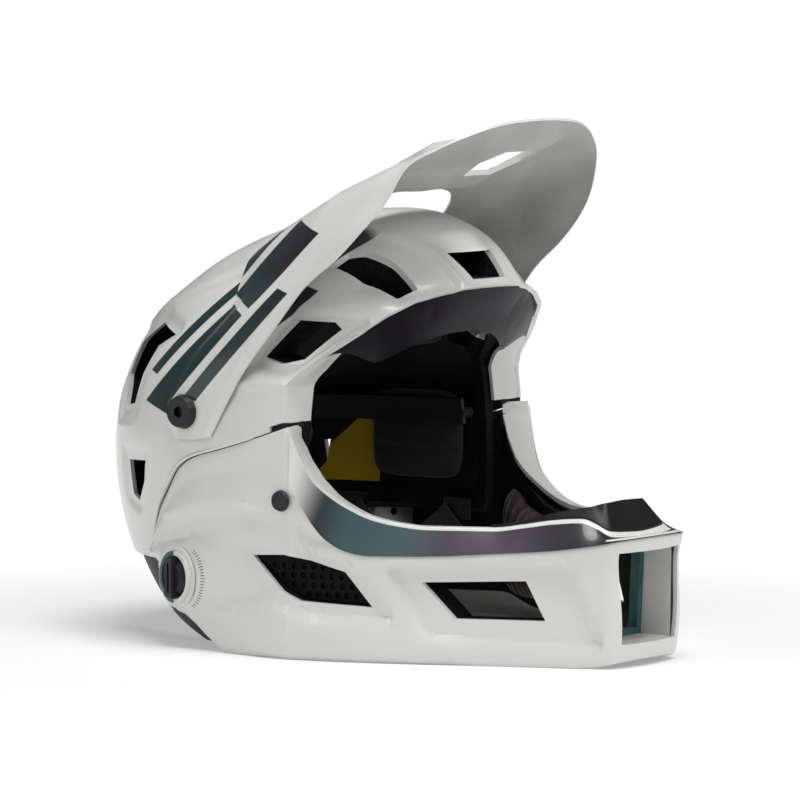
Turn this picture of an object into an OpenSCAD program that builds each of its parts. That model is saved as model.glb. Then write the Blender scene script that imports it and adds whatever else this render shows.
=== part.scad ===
// Full face bike helmet with a chin bar that comes off and a visor that tilts.
// Millimetres, +Z up. The face port looks towards -Y and the wearer's left is +X.
// The helmet stands on the bottom edge of its chin bar, at z = 0.

/* [Shell] */
// Half of the shell's width at its widest ring, without the cheek flare
shell_half_width = 106; // [100:0.5:114]
// Reach of the shell in front of the head's centre
shell_front = 136; // [128:0.5:142]
// Reach of the shell behind the head's centre
shell_back = 129; // [122:0.5:134]
// Height of the widest ring above the ground
ring_z = 108; // [104:0.5:112]
// Rise of the crown above the widest ring
shell_rise = 138; // [132:0.5:142]
// How far the back of the crown sags below an even dome
crown_sag = 11; // [0:0.5:16]
// How far the cheek panels stand out beside the face port
cheek_flare = 6; // [0:0.5:9]
// Thickness of the outer shell
shell_wall = 2.6; // [2:0.1:3.5]
// Thickness from the shell's outside to the inside of the foam
foam_depth = 28; // [24:0.5:32]

/* [Chin bar] */
// How far the front of the chin bar lies in front of the head's centre
chin_reach = 216; // [205:1:228]
// Thickness of the chin bar's skin
bar_wall = 2.6; // [2:0.1:3.5]
// Depth of the chin bar's arms, inwards from the shell's half width
arm_depth = 19.5; // [16:0.5:22]
// Gap between the chin bar and the shell along the seam
seam_gap = 0.8; // [0.4:0.1:1.5]
// Half width of the window in the chin
window_half_width = 27; // [20:0.5:29]

/* [Visor] */
// Thickness of the visor
visor_wall = 2.6; // [2:0.1:3.5]
// Radius of the shoulder that the visor turns on
pivot_radius = 5; // [4:0.25:6]
// Running clearance round the shoulders and shafts
running_gap = 0.06; // [0.02:0.01:0.1]
// Radius of the heads of the side screws
screw_head_radius = 9.4; // [8:0.1:11]

/* [Release knobs] */
// Radius of a release knob
knob_radius = 11.5; // [10:0.5:13]
// How far the knobs are turned towards the back, in degrees
knob_turn = 16; // [10:1:20]

/* [Fit system] */
// Pitch radius of the pinion behind the fit dial
pinion_radius = 5; // [4:0.25:6]
// Radius of the fit dial
dial_radius = 14; // [11:0.5:16]

/* [Webbing] */
// Width of the straps
strap_width = 18; // [14:0.5:22]
// Thickness of the straps
strap_thickness = 1.6; // [1.2:0.1:2]

/* [Hidden] */
$fn = 48;

white = [0.90, 0.90, 0.87];
black = [0.06, 0.06, 0.07];
dark = [0.13, 0.13, 0.14];
teal = [0.16, 0.29, 0.31];
yellow = [0.85, 0.62, 0.05];
steel = [0.55, 0.56, 0.58];

// The head's centre sits this far behind the middle of the helmet's length.
head_y = (chin_reach + 3.2 - shell_back) / 2;
// Depth of the shell's curve below the widest ring, down to the neck.
shell_drop = 140;
// Inside of the chin bar's arms.
arm_inside = shell_half_width - arm_depth;
// Outer face of the latch plates, inside the arms and clear of the knobs' housings.
latch_x = min(arm_inside - 0.4, shell_half_width - 19.8);
// The tables of the visor and the chin bar are drawn for this half width and this reach.
drawn_half_width = 106;
drawn_reach = 216;
// From here forwards the chin bar grows longer or shorter with its reach.
stretch_from = 60;
// Visor pivot, seen from the side, measured from the head's centre.
pivot = [19, 134];
// Release knob centre on the arm of the chin bar, seen from the side.
knob_centre = [26, 43];
// Height of the chin bar's lowest edge in the tables: the helmet stands on it.
stand_height = 4.2;
// Fit dial centre at the nape.
dial_z = 62;

// Side view of the seam between shell and chin bar: forward distance and height.
seam_line = [[-57, 50], [-53, 62], [-45, 80.5], [-37, 91.5], [-28, 103], [-17, 109.2],
    [10, 116.6], [29, 122.3], [53, 130.2]];
// Side view of the face port's edge on the shell: y and z.
port_line = [[-48, 151], [-52, 156], [-71, 172.4], [-86, 185], [-96, 194.7], [-107.5, 200.7],
    [-112.5, 203]];

function spow(v, p) = sign(v) * pow(abs(v), p);
function clamp(v) = max(0, min(1, v));
function smooth(v) = let (t = clamp(v)) t * t * (3 - 2 * t);
function mix(a, b, t) = a + (b - a) * t;
function unit(v) = v / norm(v);
function wide(x) = x * shell_half_width / drawn_half_width;
function ahead(y) = y > -stretch_from ? y
    : -mix(stretch_from, chin_reach, (-y - stretch_from) / (drawn_reach - stretch_from));

// Point of the shell at the angle th round the head (0 in front, 90 on the wearer's left),
// the elevation ph and the depth o below the outside.
function dome(th, ph, o) =
    let (back = (1 - cos(th)) / 2,
        ring = pow(cos(ph), ph > 0 ? 0.66 + 0.72 * back : 0.25 + 0.75 * back),
        square = 0.85 + 0.09 * back,
        reach = mix(shell_front, shell_back, back) - o,
        x = (shell_half_width - o) * ring * spow(sin(th), square),
        y = -reach * ring * spow(cos(th), square),
        rise = ph > 0 ? (shell_rise - o) * pow(sin(ph), 0.92 + 0.06 * back)
            : (shell_drop - o) * sin(ph),
        sag = ph > 0 ? crown_sag * smooth((y + 70) / 100) * pow(sin(ph), 2) : 0,
        flare = cheek_flare * clamp((8 - y) / 60) * clamp((200 - ring_z - rise) / 49)
            * clamp(abs(x) / 60))
    [x + sign(x) * flare, y, ring_z + rise - sag];

module place() {
    translate([0, head_y, -stand_height]) children();
}

// Both sides of the helmet: the child is drawn at +X and at -X.
module both() {
    for (s = [0, 1]) mirror([s, 0, 0]) children();
}

// Closed sheet between two grids of points, outer[row][column] and inner[row][column].
// Rows run upwards and columns to the right when it is seen from the outer side.
module sheet(outer, inner, wrap = false, pole = []) {
    rows = len(outer);
    cols = len(outer[0]);
    n = rows * cols;
    last = wrap ? cols - 1 : cols - 2;
    skin = [for (j = [0:rows - 2]) for (i = [0:last]) each
        let (a = j * cols + i, b = j * cols + (i + 1) % cols, c = a + cols, d = b + cols)
        [[a, c, d], [a, d, b]]];
    foot = [for (i = [0:last]) each
        let (a = i, b = (i + 1) % cols) [[a, b, b + n], [a, b + n, a + n]]];
    top = [for (i = [0:last]) each
        let (a = (rows - 1) * cols + i, b = (rows - 1) * cols + (i + 1) % cols)
        len(pole) > 0 ? [[a, 2 * n, b], [a + n, b + n, 2 * n + 1]]
            : [[a, a + n, b + n], [a, b + n, b]]];
    ends = wrap ? [] : [for (j = [0:rows - 2]) each
        let (a = j * cols, c = a + cols, b = a + cols - 1, d = b + cols)
        [[a, a + n, c + n], [a, c + n, c], [b, d, d + n], [b, d + n, b + n]]];
    polyhedron(concat([for (r = outer) each r], [for (r = inner) each r], pole),
        concat(skin, [for (f = skin) [f[0] + n, f[2] + n, f[1] + n]], foot, top, ends));
}

// Piece of the dome between the depths o1 and o2, all the way round, from the elevation low.
module dome_shell(o1, o2, cols, rows, low) {
    function grid(o) = [for (j = [0:rows - 1])
        [for (i = [0:cols - 1]) dome(360 * i / cols, mix(low, 87, j / (rows - 1)), o)]];
    sheet(grid(o1), grid(o2), true, [dome(0, 90, o1), dome(0, 90, o2)]);
}

// Strip of the dome between the depths o1 and o2, over a range of angles and elevations.
module dome_band(o1, o2, th_from, th_to, cols, ph_from, ph_to, rows) {
    function grid(o) = [for (j = [0:rows - 1]) [for (i = [0:cols])
        dome(mix(th_from, th_to, i / cols), mix(ph_from, ph_to, j / (rows - 1)), o)]];
    sheet(grid(o1), grid(o2));
}

// Prism across the helmet from a side view outline of y and z.
module side_prism(outline, from = -150, to = 150) {
    translate([from, 0, 0]) rotate([90, 0, 90]) linear_extrude(height = to - from) polygon(outline);
}

// Prism along y from a front view outline of x and z.
module front_prism(outline, from, to) {
    translate([0, to, 0]) rotate([90, 0, 0]) linear_extrude(height = to - from) polygon(outline);
}

function seam_outline(gap) = concat(
    [[-320, -60], [-320, 133 - gap], [-53, 133 - gap], [-40, 129 - gap], [-40, 126 - gap]],
    [for (i = [7:-1:0]) [-seam_line[i][0], seam_line[i][1] - gap]], [[200, 50 - gap], [200, -60]]);

module port_cut(grow = 0) {
    side_prism(concat([[-48 + grow, -10]], [for (p = port_line) [p[0] + grow, p[1] + grow]],
        [[-160, 206 + grow], [-230, -10]]));
}

brow_vent = [[-63, -46], [-54, -52], [-50, -60], [-47, -77], [-47, -94], [-58, -88], [-63, -70]];
temple_vent = [[-26, 165], [-41, 185], [-63, 184.5], [-68, 181], [-53, 165], [-40, 162]];
rear_side_vent = [[47, 173], [62, 166], [71, 151], [75, 134], [90, 131], [97, 148], [90, 166],
    [68, 178]];
nape_side_vent = [[58, 104], [77, 103], [74, 84], [67, 81], [60, 92]];
exhaust_vent = [[14, 150], [34, 156], [30, 186], [12, 190]];

// Air vents of the shell. The grow value widens them in the parts below it.
module shell_vents(grow = 0) {
    both() {
        translate([0, 0, 170]) linear_extrude(height = 80) offset(delta = grow)
            polygon([for (p = brow_vent) [-p[0], p[1]]]);
        for (outline = [temple_vent, rear_side_vent, nape_side_vent])
            translate([42, 0, 0]) rotate([90, 0, 90]) linear_extrude(height = 90)
                offset(delta = grow) polygon(outline);
        translate([0, 160, 0]) rotate([90, 0, 0]) linear_extrude(height = 120)
            offset(delta = grow) polygon(exhaust_vent);
    }
    front_prism([[-19 - grow, 220 + grow], [19 + grow, 220 + grow], [14 + grow, 206 - grow],
        [-14 - grow, 206 - grow]], -170, -60);
}

// Frame of the visor's left pivot, at the shell's half width and with z pointing outwards.
module at_pivot() {
    translate([shell_half_width, pivot[0], pivot[1]]) rotate([0, 90, 0]) children();
}

boss_radius = 6.4;
module pivot_bores() {
    both() at_pivot() translate([0, 0, -36]) cylinder(r = boss_radius + 0.1, h = 60);
}

module tube(r_out, r_in, z_low, z_high) {
    translate([0, 0, z_low]) difference() {
        cylinder(r = r_out, h = z_high - z_low);
        translate([0, 0, -1]) cylinder(r = r_in, h = z_high - z_low + 2);
    }
}

module outer_shell() {
    color(white) place() difference() {
        dome_shell(0, shell_wall, 50, 16, -26);
        port_cut();
        side_prism(seam_outline(0));
        shell_vents();
        pivot_bores();
    }
}

module rear_skirt() {
    color(black) place() intersection() {
        dome_band(shell_wall + 0.6, shell_wall + 3, 96, 264, 30, -52, -16, 6);
        side_prism([[59, 57], [140, 57], [140, 44], [106, 40], [86, 29], [68, 16.5], [49, 9.5],
            [36, stand_height], [24, stand_height], [20, 7], [26, 17.5], [38.5, 27], [47, 31],
            [57.5, 44]]);
    }
}

module foam_liner() {
    color(dark) place() difference() {
        dome_shell(shell_wall + 0.5, foam_depth, 40, 12, -20);
        port_cut(3.5);
        both() side_prism(seam_outline(-1.5), latch_x - 1.3, latch_x + 58);
        shell_vents();
        translate([-44, 60, 0]) cube([88, 90, 88]);
        pivot_bores();
    }
}

module slip_liner() {
    color(yellow) place() difference() {
        dome_shell(foam_depth + 0.7, foam_depth + 1.5, 38, 8, -14);
        port_cut(9);
        shell_vents(1);
        translate([-45, 60, 0]) cube([90, 90, 90]);
    }
}

module port_jambs() {
    color(white) place() both()
        side_prism([[-47.8, 133.2], [-45, 132.4], [-45, 142], [-47.8, 142]], arm_inside + 1, wide(95.2) + cheek_flare);
}

module port_gaskets() {
    color(black) place() both()
        side_prism([[-48, 128.3], [-40.2, 125.8], [-40.2, 128.6], [-48, 131.2]], arm_inside + 1, wide(99) + cheek_flare);
}

// Elevation at which the dome of the depth o meets the port's edge, found by halving.
function port_height(y) = lookup(-y, [for (p = port_line) [-p[0], p[1]]]);
function port_ph(th, o, low = 0, high = 70, n = 14) =
    let (mid = (low + high) / 2, p = dome(th, mid, o))
    n == 0 ? mid : p[2] > port_height(p[1]) ? port_ph(th, o, low, mid, n - 1)
        : port_ph(th, o, mid, high, n - 1);

module brow_band() {
    // Depth below the shell's outside and drop below the port's edge, from front to back
    // and thickness there
    lip = [[shell_wall + 1.1, 0.4, 0.7], [10, -5, 2.2], [foam_depth - 10, -10, 2.2],
        [foam_depth - 3, -12, 2.2]];
    function row(k, lift) = [for (th = [-66:4:66])
        dome(th, port_ph(th, lip[k][0]), lip[k][0]) + [0, 0, lip[k][1] + lift * lip[k][2]]];
    color(dark) place() sheet([for (k = [3:-1:0]) row(k, 0)], [for (k = [3:-1:0]) row(k, 1)]);
}

// Cushion on the inside of the liner between two angles and two elevations.
// Its face bulges in both directions and a channel runs across its middle. A pad that follows
// the port has its elevations counted from the port's edge.
module head_pad(th_from, th_to, ph_from, ph_to, loft, cols, rows, channel = 0.45, follow = false) {
    base = foam_depth + 2.8;
    function crown(u, v) = let (a = abs(2 * u - 1), b = abs(2 * v - 1))
        pow(1 - pow(a, 4), 0.5) * pow(1 - pow(b, 4), 0.5)
        * (1 - channel * exp(-pow((u - 0.5) / 0.07, 2)));
    function at(i, j, inner) =
        let (u = i / cols, v = j / rows, pinch = 0.012 * (inner ? 1 : 0),
            th = mix(th_from, th_to, mix(pinch, 1 - pinch, u)),
            edge = follow ? port_ph(th, base) : 0,
            ph = edge + mix(ph_from, ph_to, mix(pinch, 1 - pinch, v)))
        dome(th, ph, inner ? base + 1.2 + (loft - 1.2) * crown(u, v) : base);
    sheet([for (j = [0:rows]) [for (i = [0:cols]) at(i, j, false)]],
        [for (j = [0:rows]) [for (i = [0:cols]) at(i, j, true)]]);
}

module brow_pad() { color(black) place() head_pad(-58, 58, 4, 17, 8, 22, 8, 0.45, true); }
module crown_pad_middle() { color(black) place() head_pad(-52, 52, 63, 80, 6.5, 16, 8); }
module crown_pad_left() { color(black) place() head_pad(75, 125, 30, 62, 6.5, 14, 10); }
module crown_pad_right() { color(black) place() head_pad(235, 285, 30, 62, 6.5, 14, 10); }
module rear_pad() { color(black) place() head_pad(148, 212, 28, 58, 6.5, 16, 10); }
module ear_pad_left() { color(black) place() head_pad(76, 106, -12, 14, 6.5, 12, 10); }
module ear_pad_right() { color(black) place() head_pad(254, 284, -12, 14, 6.5, 12, 10); }

// Inner face of the visor from its middle to the end of the left arm: the rear edge, the
// fold line and the front edge.
visor_rear = [[0, -60, 253], [28, -56, 250.5], [50, -40, 242], [66, -20, 230], [78, -6, 218],
    [86, -4, 204], [93, -3, 189], [99.5, 8, 174], [104, 20, 159], [106.2, 30, 142],
    [106.2, 31, 128], [106.2, 27, 119]];
visor_fold = [[0, -104, 275], [30, -102, 273], [52, -93, 267], [70, -80, 259], [84, -66, 249],
    [92, -58, 232], [96, -50, 216], [100, -36, 200], [103.5, -18, 184], [106.2, -1, 162],
    [106.2, 6, 142], [106.2, 13, 119]];
visor_front = [[0, -142, 292], [30, -140, 290.5], [50, -134.5, 286], [70, -125, 278],
    [84, -116, 269], [91, -107, 250], [96, -96, 236], [98.5, -80, 220], [101, -60, 204],
    [103.5, -40, 180], [106, -20, 155], [107, 1, 121]];

// Five rows between the rear edge and the front edge.
function visor_row(t) = [for (i = [0:len(visor_rear) - 1])
    t < 0.5 ? mix(visor_rear[i], visor_fold[i], 2 * t) : mix(visor_fold[i], visor_front[i], 2 * t - 1)];
function whole(row) = concat([for (i = [len(row) - 1:-1:1]) [-wide(row[i][0]), row[i][1], row[i][2]]],
    [for (p = row) [wide(p[0]), p[1], p[2]]]);
visor_grid = [for (t = [0:0.25:1]) whole(visor_row(t))];
function visor_normal(j, i) =
    let (a = visor_grid[max(j - 1, 0)][i], b = visor_grid[min(j + 1, 4)][i],
        c = visor_grid[j][max(i - 1, 0)], d = visor_grid[j][min(i + 1, 22)])
    unit(cross(b - a, d - c));

module visor() {
    cols = len(visor_grid[0]);
    up = [for (j = [0:4]) [for (i = [0:cols - 1])
        let (n = visor_normal(j, i), flat = abs(visor_grid[j][i][0]) > shell_half_width + 0.1)
        visor_grid[j][i] + visor_wall * (flat ? [sign(visor_grid[j][i][0]), 0, 0] : n)]];
    color(white) place() difference() {
        sheet([for (j = [4:-1:0]) up[j]], [for (j = [4:-1:0]) visor_grid[j]]);
        both() at_pivot() translate([0, 0, -6]) cylinder(r = pivot_radius + running_gap, h = 20);
        translate([0, 0, 230]) linear_extrude(height = 70)
            polygon([[-18, -113], [-12, -126], [12, -126], [18, -113], [12, -97], [-12, -97]]);
    }
}

bolt_radius = 3;
module visor_bosses() {
    color(dark) place() both() at_pivot() tube(boss_radius, bolt_radius + 0.1, -14, -0.7);
}

module visor_inserts() {
    color(steel) place() both() at_pivot() tube(boss_radius - 0.2, bolt_radius + 0.1, -24, -14.2);
}

module visor_washers() {
    color(black) place() both() at_pivot() tube(10.5, pivot_radius + 0.1, -0.7, -0.2);
}

module visor_screws() {
    color(dark) place() both() at_pivot() difference() {
        union() {
            translate([0, 0, -22]) cylinder(r = bolt_radius, h = 22);
            translate([0, 0, -0.6]) cylinder(r = pivot_radius, h = visor_wall + 1.4);
            translate([0, 0, visor_wall + 0.6])
                cylinder(r1 = screw_head_radius, r2 = screw_head_radius - 1.2, h = 4);
        }
        translate([0, 0, visor_wall + 1.4]) cylinder(r = 3.4, h = 5, $fn = 6);
    }
}

// The chin bar along the forward distance: half width, bottom edge, ridge and rim.
bar_width = [[-60, 92], [-57, 93.3], [-45, 98], [-28, 102.6], [-17, 104.8], [0, 106.8], [25, 108],
    [50, 107], [60, 103.5], [75, 98.5], [90, 92], [120, 77], [150, 61], [180, 46], [203, 34.5],
    [210, 31]];
bar_foot = [[-54, 52], [-45, 46], [-37, 31], [-28, 24.5], [-17, 19], [-5, 11.5],
    [10, stand_height], [190, stand_height], [204, stand_height + 1.4], [216, stand_height + 4.3]];
bar_ridge = [[-54, 55], [-45, 66], [-28, 77], [-5, 84.5], [10, 87.5], [25, 90], [40, 93.5],
    [53, 95.5], [57, 92], [61, 86], [66, 78], [74, 69], [84, 63.5], [95, 61.5], [122, 62],
    [152, 64], [182, 66.5], [204, 70], [216, 73]];
bar_rim = [[53, 129.3], [57, 118], [61, 108], [66, 100], [74, 93], [84, 87], [95, 82], [108, 79],
    [122, 77.5], [152, 77.5], [167, 79.5], [182, 82], [195, 83], [204, 80], [210, 77], [216, 75]];
// How far the face above the ridge leans in, and how wide the rim is.
bar_lean = [[50, 0], [60, 2], [75, 6], [204, 7], [216, 6]];
bar_jamb = [[50, 4], [53.5, 18], [66, 18], [84, 15], [95, 13.5], [150, 12.5], [180, 14],
    [195, 17], [204, 19], [216, 20]];
bar_rise = [[160, 0], [182, 2.5], [195, 4], [204, 8.5], [210, 12.5], [216, 15]];
bar_steps = [-54, -50, -45, -37, -28, -17, -5, 10, 25, 40, 50, 53.5, 57, 61, 66, 74, 84, 95, 108,
    122, 137, 152, 167, 182, 195, 204, 210];
bar_nose = [[26, 3.5], [13, 1], [0, 0]];
window_top = 66;
window_foot = 17;
window_depth = 25;
side_vent = [for (p = [[-27, 59], [-48, 60.5], [-63, 58], [-81, 52.5], [-95, 34], [-57, 36], [-47, 41]])
    [ahead(p[0]), p[1]]];
front_vent = [for (p = [[-118, 48], [-168, 50], [-178, 29], [-134, 29]]) [ahead(p[0]), p[1]]];

function half_width(f) = wide(lookup(f, bar_width));
function rim_at(f) = f < 53 ? lookup(f, seam_line) - seam_gap : lookup(f, bar_rim);
// Plan of the bar from the right arm's end round the chin to the left arm's end.
function bar_plan(first) =
    let (half = concat([for (f = bar_steps) if (f >= first) [half_width(f), -f]],
        [for (p = bar_nose) [wide(p[0]), p[1] - drawn_reach]]), n = len(half))
    concat([for (p = half) [-p[0], p[1]]], [for (i = [n - 2:-1:0]) half[i]]);
// Grid of points, from a function list of [inset, height] pairs for each forward distance.
function bar_grid(plan, rows) =
    let (real = [for (p = plan) [p[0], ahead(p[1])]])
    [for (j = [0:len(rows[0]) - 1]) [for (i = [0:len(plan) - 1])
        let (p = real[i], a = real[max(i - 1, 0)], b = real[min(i + 1, len(plan) - 1)],
            t = unit(b - a), inward = plan[i][1] < -200 ? unit([0, ahead(-180)] - p) : [-t[1], t[0]],
            q = p + inward * rows[i][j][0])
        [q[0], q[1], rows[i][j][1]]]];

function skin_rows(f, w) =
    let (foot = lookup(f, bar_foot), ridge = lookup(f, bar_ridge), rim = rim_at(f),
        lean = lookup(f, bar_lean), jamb = lookup(f, bar_jamb),
        top = rim + (f > 160 ? lookup(f, bar_rise) : 0))
    [[5, foot + w], [1.8 + 0.8 * w, foot + w], [w, mix(foot, ridge, 0.12) + 0.3 * w],
        [w - 1.2, mix(foot, ridge, 0.38)], [w - 0.4, mix(foot, ridge, 0.8)],
        [w - 2.2, ridge - 0.2 * w], [lean / 2 + w - 0.6, mix(ridge, rim, 0.5)],
        [lean + w, rim - 1.4 - 0.6 * w], [lean + 1.6 + 0.5 * w, rim - w], [jamb, top - w]];

module chin_bar_skin() {
    plan = bar_plan(-54);
    color(white) place() difference() {
        sheet(bar_grid(plan, [for (p = plan) skin_rows(-p[1], 0)]),
            bar_grid(plan, [for (p = plan) skin_rows(-p[1], bar_wall)]));
        both() {
            side_prism(side_vent, 60, 130);
            side_prism(front_vent, 20, 130);
            at_knob() translate([0, 0, -14]) cylinder(r = knob_radius + 1.7, h = 30);
            at_stud() cylinder(r = 2.6, h = 50);
        }
        window_prism(0, -24, window_depth + 1);
    }
}

// Prism of the window between two depths behind the front of the chin bar.
module window_prism(grow, from, to) {
    w = window_half_width + grow;
    front_prism([[-w, window_top + grow], [w, window_top + grow], [w - 3, window_foot - grow],
        [3 - w, window_foot - grow]], from - chin_reach, to - chin_reach);
}

// Foam halves of the chin bar, parted by the window.
module chin_bar_liner() {
    plan = [for (i = [len(bar_steps) - 1:-1:0]) if (bar_steps[i] >= -45 && bar_steps[i] < 205)
        [half_width(bar_steps[i]), -bar_steps[i]]];
    function thick(f) = f < 60 ? half_width(f) - arm_inside
        : lookup(f, [[60, 17], [180, 17], [204, 21], [216, 25]]);
    function rows(f, inner) =
        let (foot = lookup(f, bar_foot), ridge = lookup(f, bar_ridge), rim = rim_at(f), w = bar_wall,
            lean = lookup(f, bar_lean))
        [[inner ? thick(f) - 2 : w + 0.4, mix(foot, ridge, 0.2)],
            [inner ? thick(f) : w - 0.5, mix(foot, ridge, 0.45)],
            [inner ? thick(f) : w + 0.2, mix(foot, ridge, 0.8)],
            [inner ? thick(f) : w - 1.2, ridge - 1],
            [inner ? thick(f) : lean + w + 0.8, rim - (f > 195 ? 8 : 6)]];
    color(dark) place() both() difference() {
        sheet(bar_grid(plan, [for (p = plan) rows(-p[1], false)]),
            bar_grid(plan, [for (p = plan) rows(-p[1], true)]));
        at_side_vent() side_prism(side_vent_outline(0), -1.6, 30);
        side_prism(front_vent, 20, 130);
        at_knob() translate([0, 0, -20]) cylinder(r = knob_radius + 2, h = 30);
        at_stud() translate([0, 0, 19]) cylinder(r = 2.6, h = 30);
        window_prism(3.2, -24, 56);
    }
}

// Inlay along the upper band of the chin bar.
module chin_band() {
    plan = bar_plan(61);
    function rows(f, lift) =
        let (ridge = lookup(f, bar_ridge), rim = rim_at(f), lean = lookup(f, bar_lean))
        [[-2.2 - lift, ridge + 0.6], [lean / 2 - 0.6 - lift, mix(ridge, rim, 0.5)],
            [lean - lift, rim - 1.8]];
    color(teal) place() sheet(bar_grid(plan, [for (p = plan) rows(-p[1], 1)]),
        bar_grid(plan, [for (p = plan) rows(-p[1], 0.35)]));
}

// Dark cover over the rim in front of the mouth.
module chin_deck() {
    plan = bar_plan(150);
    function rows(f, lift) =
        let (rim = rim_at(f), lean = lookup(f, bar_lean), jamb = lookup(f, bar_jamb),
            top = rim + (f > 160 ? lookup(f, bar_rise) : 0))
        [[lean + 2, rim + lift], [jamb - 0.3, top + lift]];
    color(black) place() sheet(bar_grid(plan, [for (p = plan) rows(-p[1], 1.4)]),
        bar_grid(plan, [for (p = plan) rows(-p[1], 0.5)]));
}

module window_tunnel() {
    plan = bar_plan(150);
    inside = bar_grid(plan, [for (p = plan) [[bar_wall + 0.5, 0]]])[0];
    color(white) place() difference() {
        intersection() {
            window_prism(2.4, -14, window_depth);
            linear_extrude(height = 100) polygon([for (p = inside) [p[0], p[1]]]);
        }
        window_prism(0, -14, 46);
    }
}

module window_frame() {
    color(teal) place() difference() {
        window_prism(2.4, window_depth + 0.2, window_depth + 6);
        window_prism(-3.5, -14, 46);
    }
}

// Frame of the flat grille behind the left side vent: x points outwards.
vent_tilt = 15.2;
module at_side_vent() {
    translate([wide(103), -27, 0]) rotate([0, 0, -vent_tilt]) children();
}
function side_vent_outline(inset) = [for (p = side_vent)
    [(mix(p[0], -61, inset) + 27) / cos(vent_tilt), mix(p[1], 48, inset)]];

module side_vent_meshes() {
    // Each row of holes: height, first distance and number
    hole_rows = [[39, -57.5, 6], [44, -49.5, 7], [49, -43.5, 7], [54, -38.5, 7]];
    color(black) place() both() at_side_vent() rotate([90, 0, 90])
        translate([0, 0, -1.2]) linear_extrude(height = 1.2) difference() {
            polygon(side_vent_outline(0.05));
            for (row = hole_rows) for (k = [0:row[2] - 1])
                translate([(row[1] + 27) / cos(vent_tilt) - 5.6 * k, row[0]]) circle(r = 1.8);
        }
}

// Frame of the left stud on the cheek of the chin bar, with z pointing outwards.
module at_stud() {
    translate([half_width(50) - 22, -50, 90]) rotate([0, 90, 0]) children();
}

module chin_studs() {
    color(black) place() both() at_stud() {
        translate([0, 0, 24.4]) cylinder(r1 = 5.8, r2 = 5.2, h = 1.8);
        translate([0, 0, 20.4]) cylinder(r = 2.4, h = 4.1);
    }
}

// Cushion on the inside of the chin bar beside the mouth.
module cheek_cushion() {
    cols = 14;
    rows = 10;
    function at(i, j, inner) =
        let (u = i / cols, v = j / rows, a = abs(2 * u - 1), b = abs(2 * v - 1),
            f = mix(62, 108, u), slope = (half_width(f + 3) - half_width(f - 3)) / 6,
            n = unit([1, slope]), ribs = 0.6 * cos(360 * 3 * u),
            crown = pow(1 - pow(a, 4), 0.5) * pow(1 - pow(b, 4), 0.5),
            depth = 17.5 + (inner ? 1.4 + (11 + ribs) * crown : 0),
            z = mix(22, lookup(f, [[58, 92], [66, 84], [84, 72], [108, 68]]), v))
        [half_width(f) - depth * n[0], ahead(-f) - depth * n[1], z];
    sheet([for (j = [0:rows]) [for (i = [cols:-1:0]) at(i, j, false)]],
        [for (j = [0:rows]) [for (i = [cols:-1:0]) at(i, j, true)]]);
}

module cheek_pad_left() { color(black) place() cheek_cushion(); }
module cheek_pad_right() { color(black) place() mirror([1, 0, 0]) cheek_cushion(); }

// Frame of the left release knob, with z pointing out of the chin bar.
module at_knob() {
    translate([half_width(-knob_centre[0]), knob_centre[0], knob_centre[1]])
        rotate([0, 0, knob_turn]) rotate([0, 90, 0]) children();
}

module knob_housings() {
    color(white) place() both() at_knob() {
        difference() {
            union() {
                translate([0, 0, -9.6]) cylinder(r = knob_radius + 1.5, h = 11.8);
                translate([0, 0, 2.2]) cylinder(r = knob_radius + 5.5, h = 1);
            }
            translate([0, 0, -8]) cylinder(r = knob_radius + 0.3, h = 30);
            translate([0, 0, -20]) cylinder(r = 4 + running_gap, h = 30);
        }
        front_half() tube(knob_radius + 2.8, knob_radius + 0.5, 3.1, 4.8);
    }
}

// The front half of what is drawn round the knob's axis, or the rear half.
module front_half(rear = false) {
    intersection() {
        children();
        translate([-30, rear ? 0 : -60, -30]) cube(60);
    }
}

module knob_collars() {
    color(teal) place() both() at_knob() front_half(true)
        tube(knob_radius + 2.8, knob_radius + 0.5, 3.2, 4.8);
}

module knob() {
    difference() {
        union() {
            translate([0, 0, -7.6]) cylinder(r = knob_radius, h = 11.6);
            translate([0, 0, 4]) cylinder(r1 = knob_radius - 2, r2 = knob_radius - 4, h = 2);
            translate([-10.5, -3.2, 4]) cube([21, 6.4, 4.6]);
            translate([0, 0, -12.2]) cylinder(r = 4, h = 5);
        }
        translate([-8, -0.9, 7]) cube([16, 1.8, 3]);
        translate([0, 0, -7.7]) cylinder(r = 2.4, h = 9);
    }
}

module knob_left() { color(dark) place() at_knob() knob(); }
module knob_right() { color(dark) place() mirror([1, 0, 0]) at_knob() knob(); }

module latch_plates() {
    color(steel) place() both() difference() {
        translate([0, knob_centre[0], knob_centre[1]])
            side_prism([[-13, 34], [13, 34], [15, 31], [15, -1], [9, -9], [-7, -9], [-13, -1]],
                latch_x - 1.2, latch_x);
        translate([latch_x - 6, knob_centre[0] + 1, knob_centre[1] + 5]) rotate([0, 90, 0])
            cylinder(r = 5, h = 10);
        translate([latch_x - 6, knob_centre[0] + 1, knob_centre[1] + 20]) rotate([0, 90, 0])
            cylinder(r = 2.1, h = 10);
    }
}

module headband() {
    depth = foam_depth + 9.9;
    pin = dome(71.5, 8.3, depth + 0.8);
    color(dark) place() {
        dome_band(depth, depth + 1.6, 70, 290, 42, 5, 13, 3);
        both() translate(pin - [1, 0, 0]) rotate([0, 90, 0]) cylinder(r = 3.2, h = 9);
    }
}

// Fixed hanger at the back of the foam, on whose stem the cradle slides up and down.
hanger_z = 89;
stem_width = 12;
stem_height = 5;
cradle_travel = 8;
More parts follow.
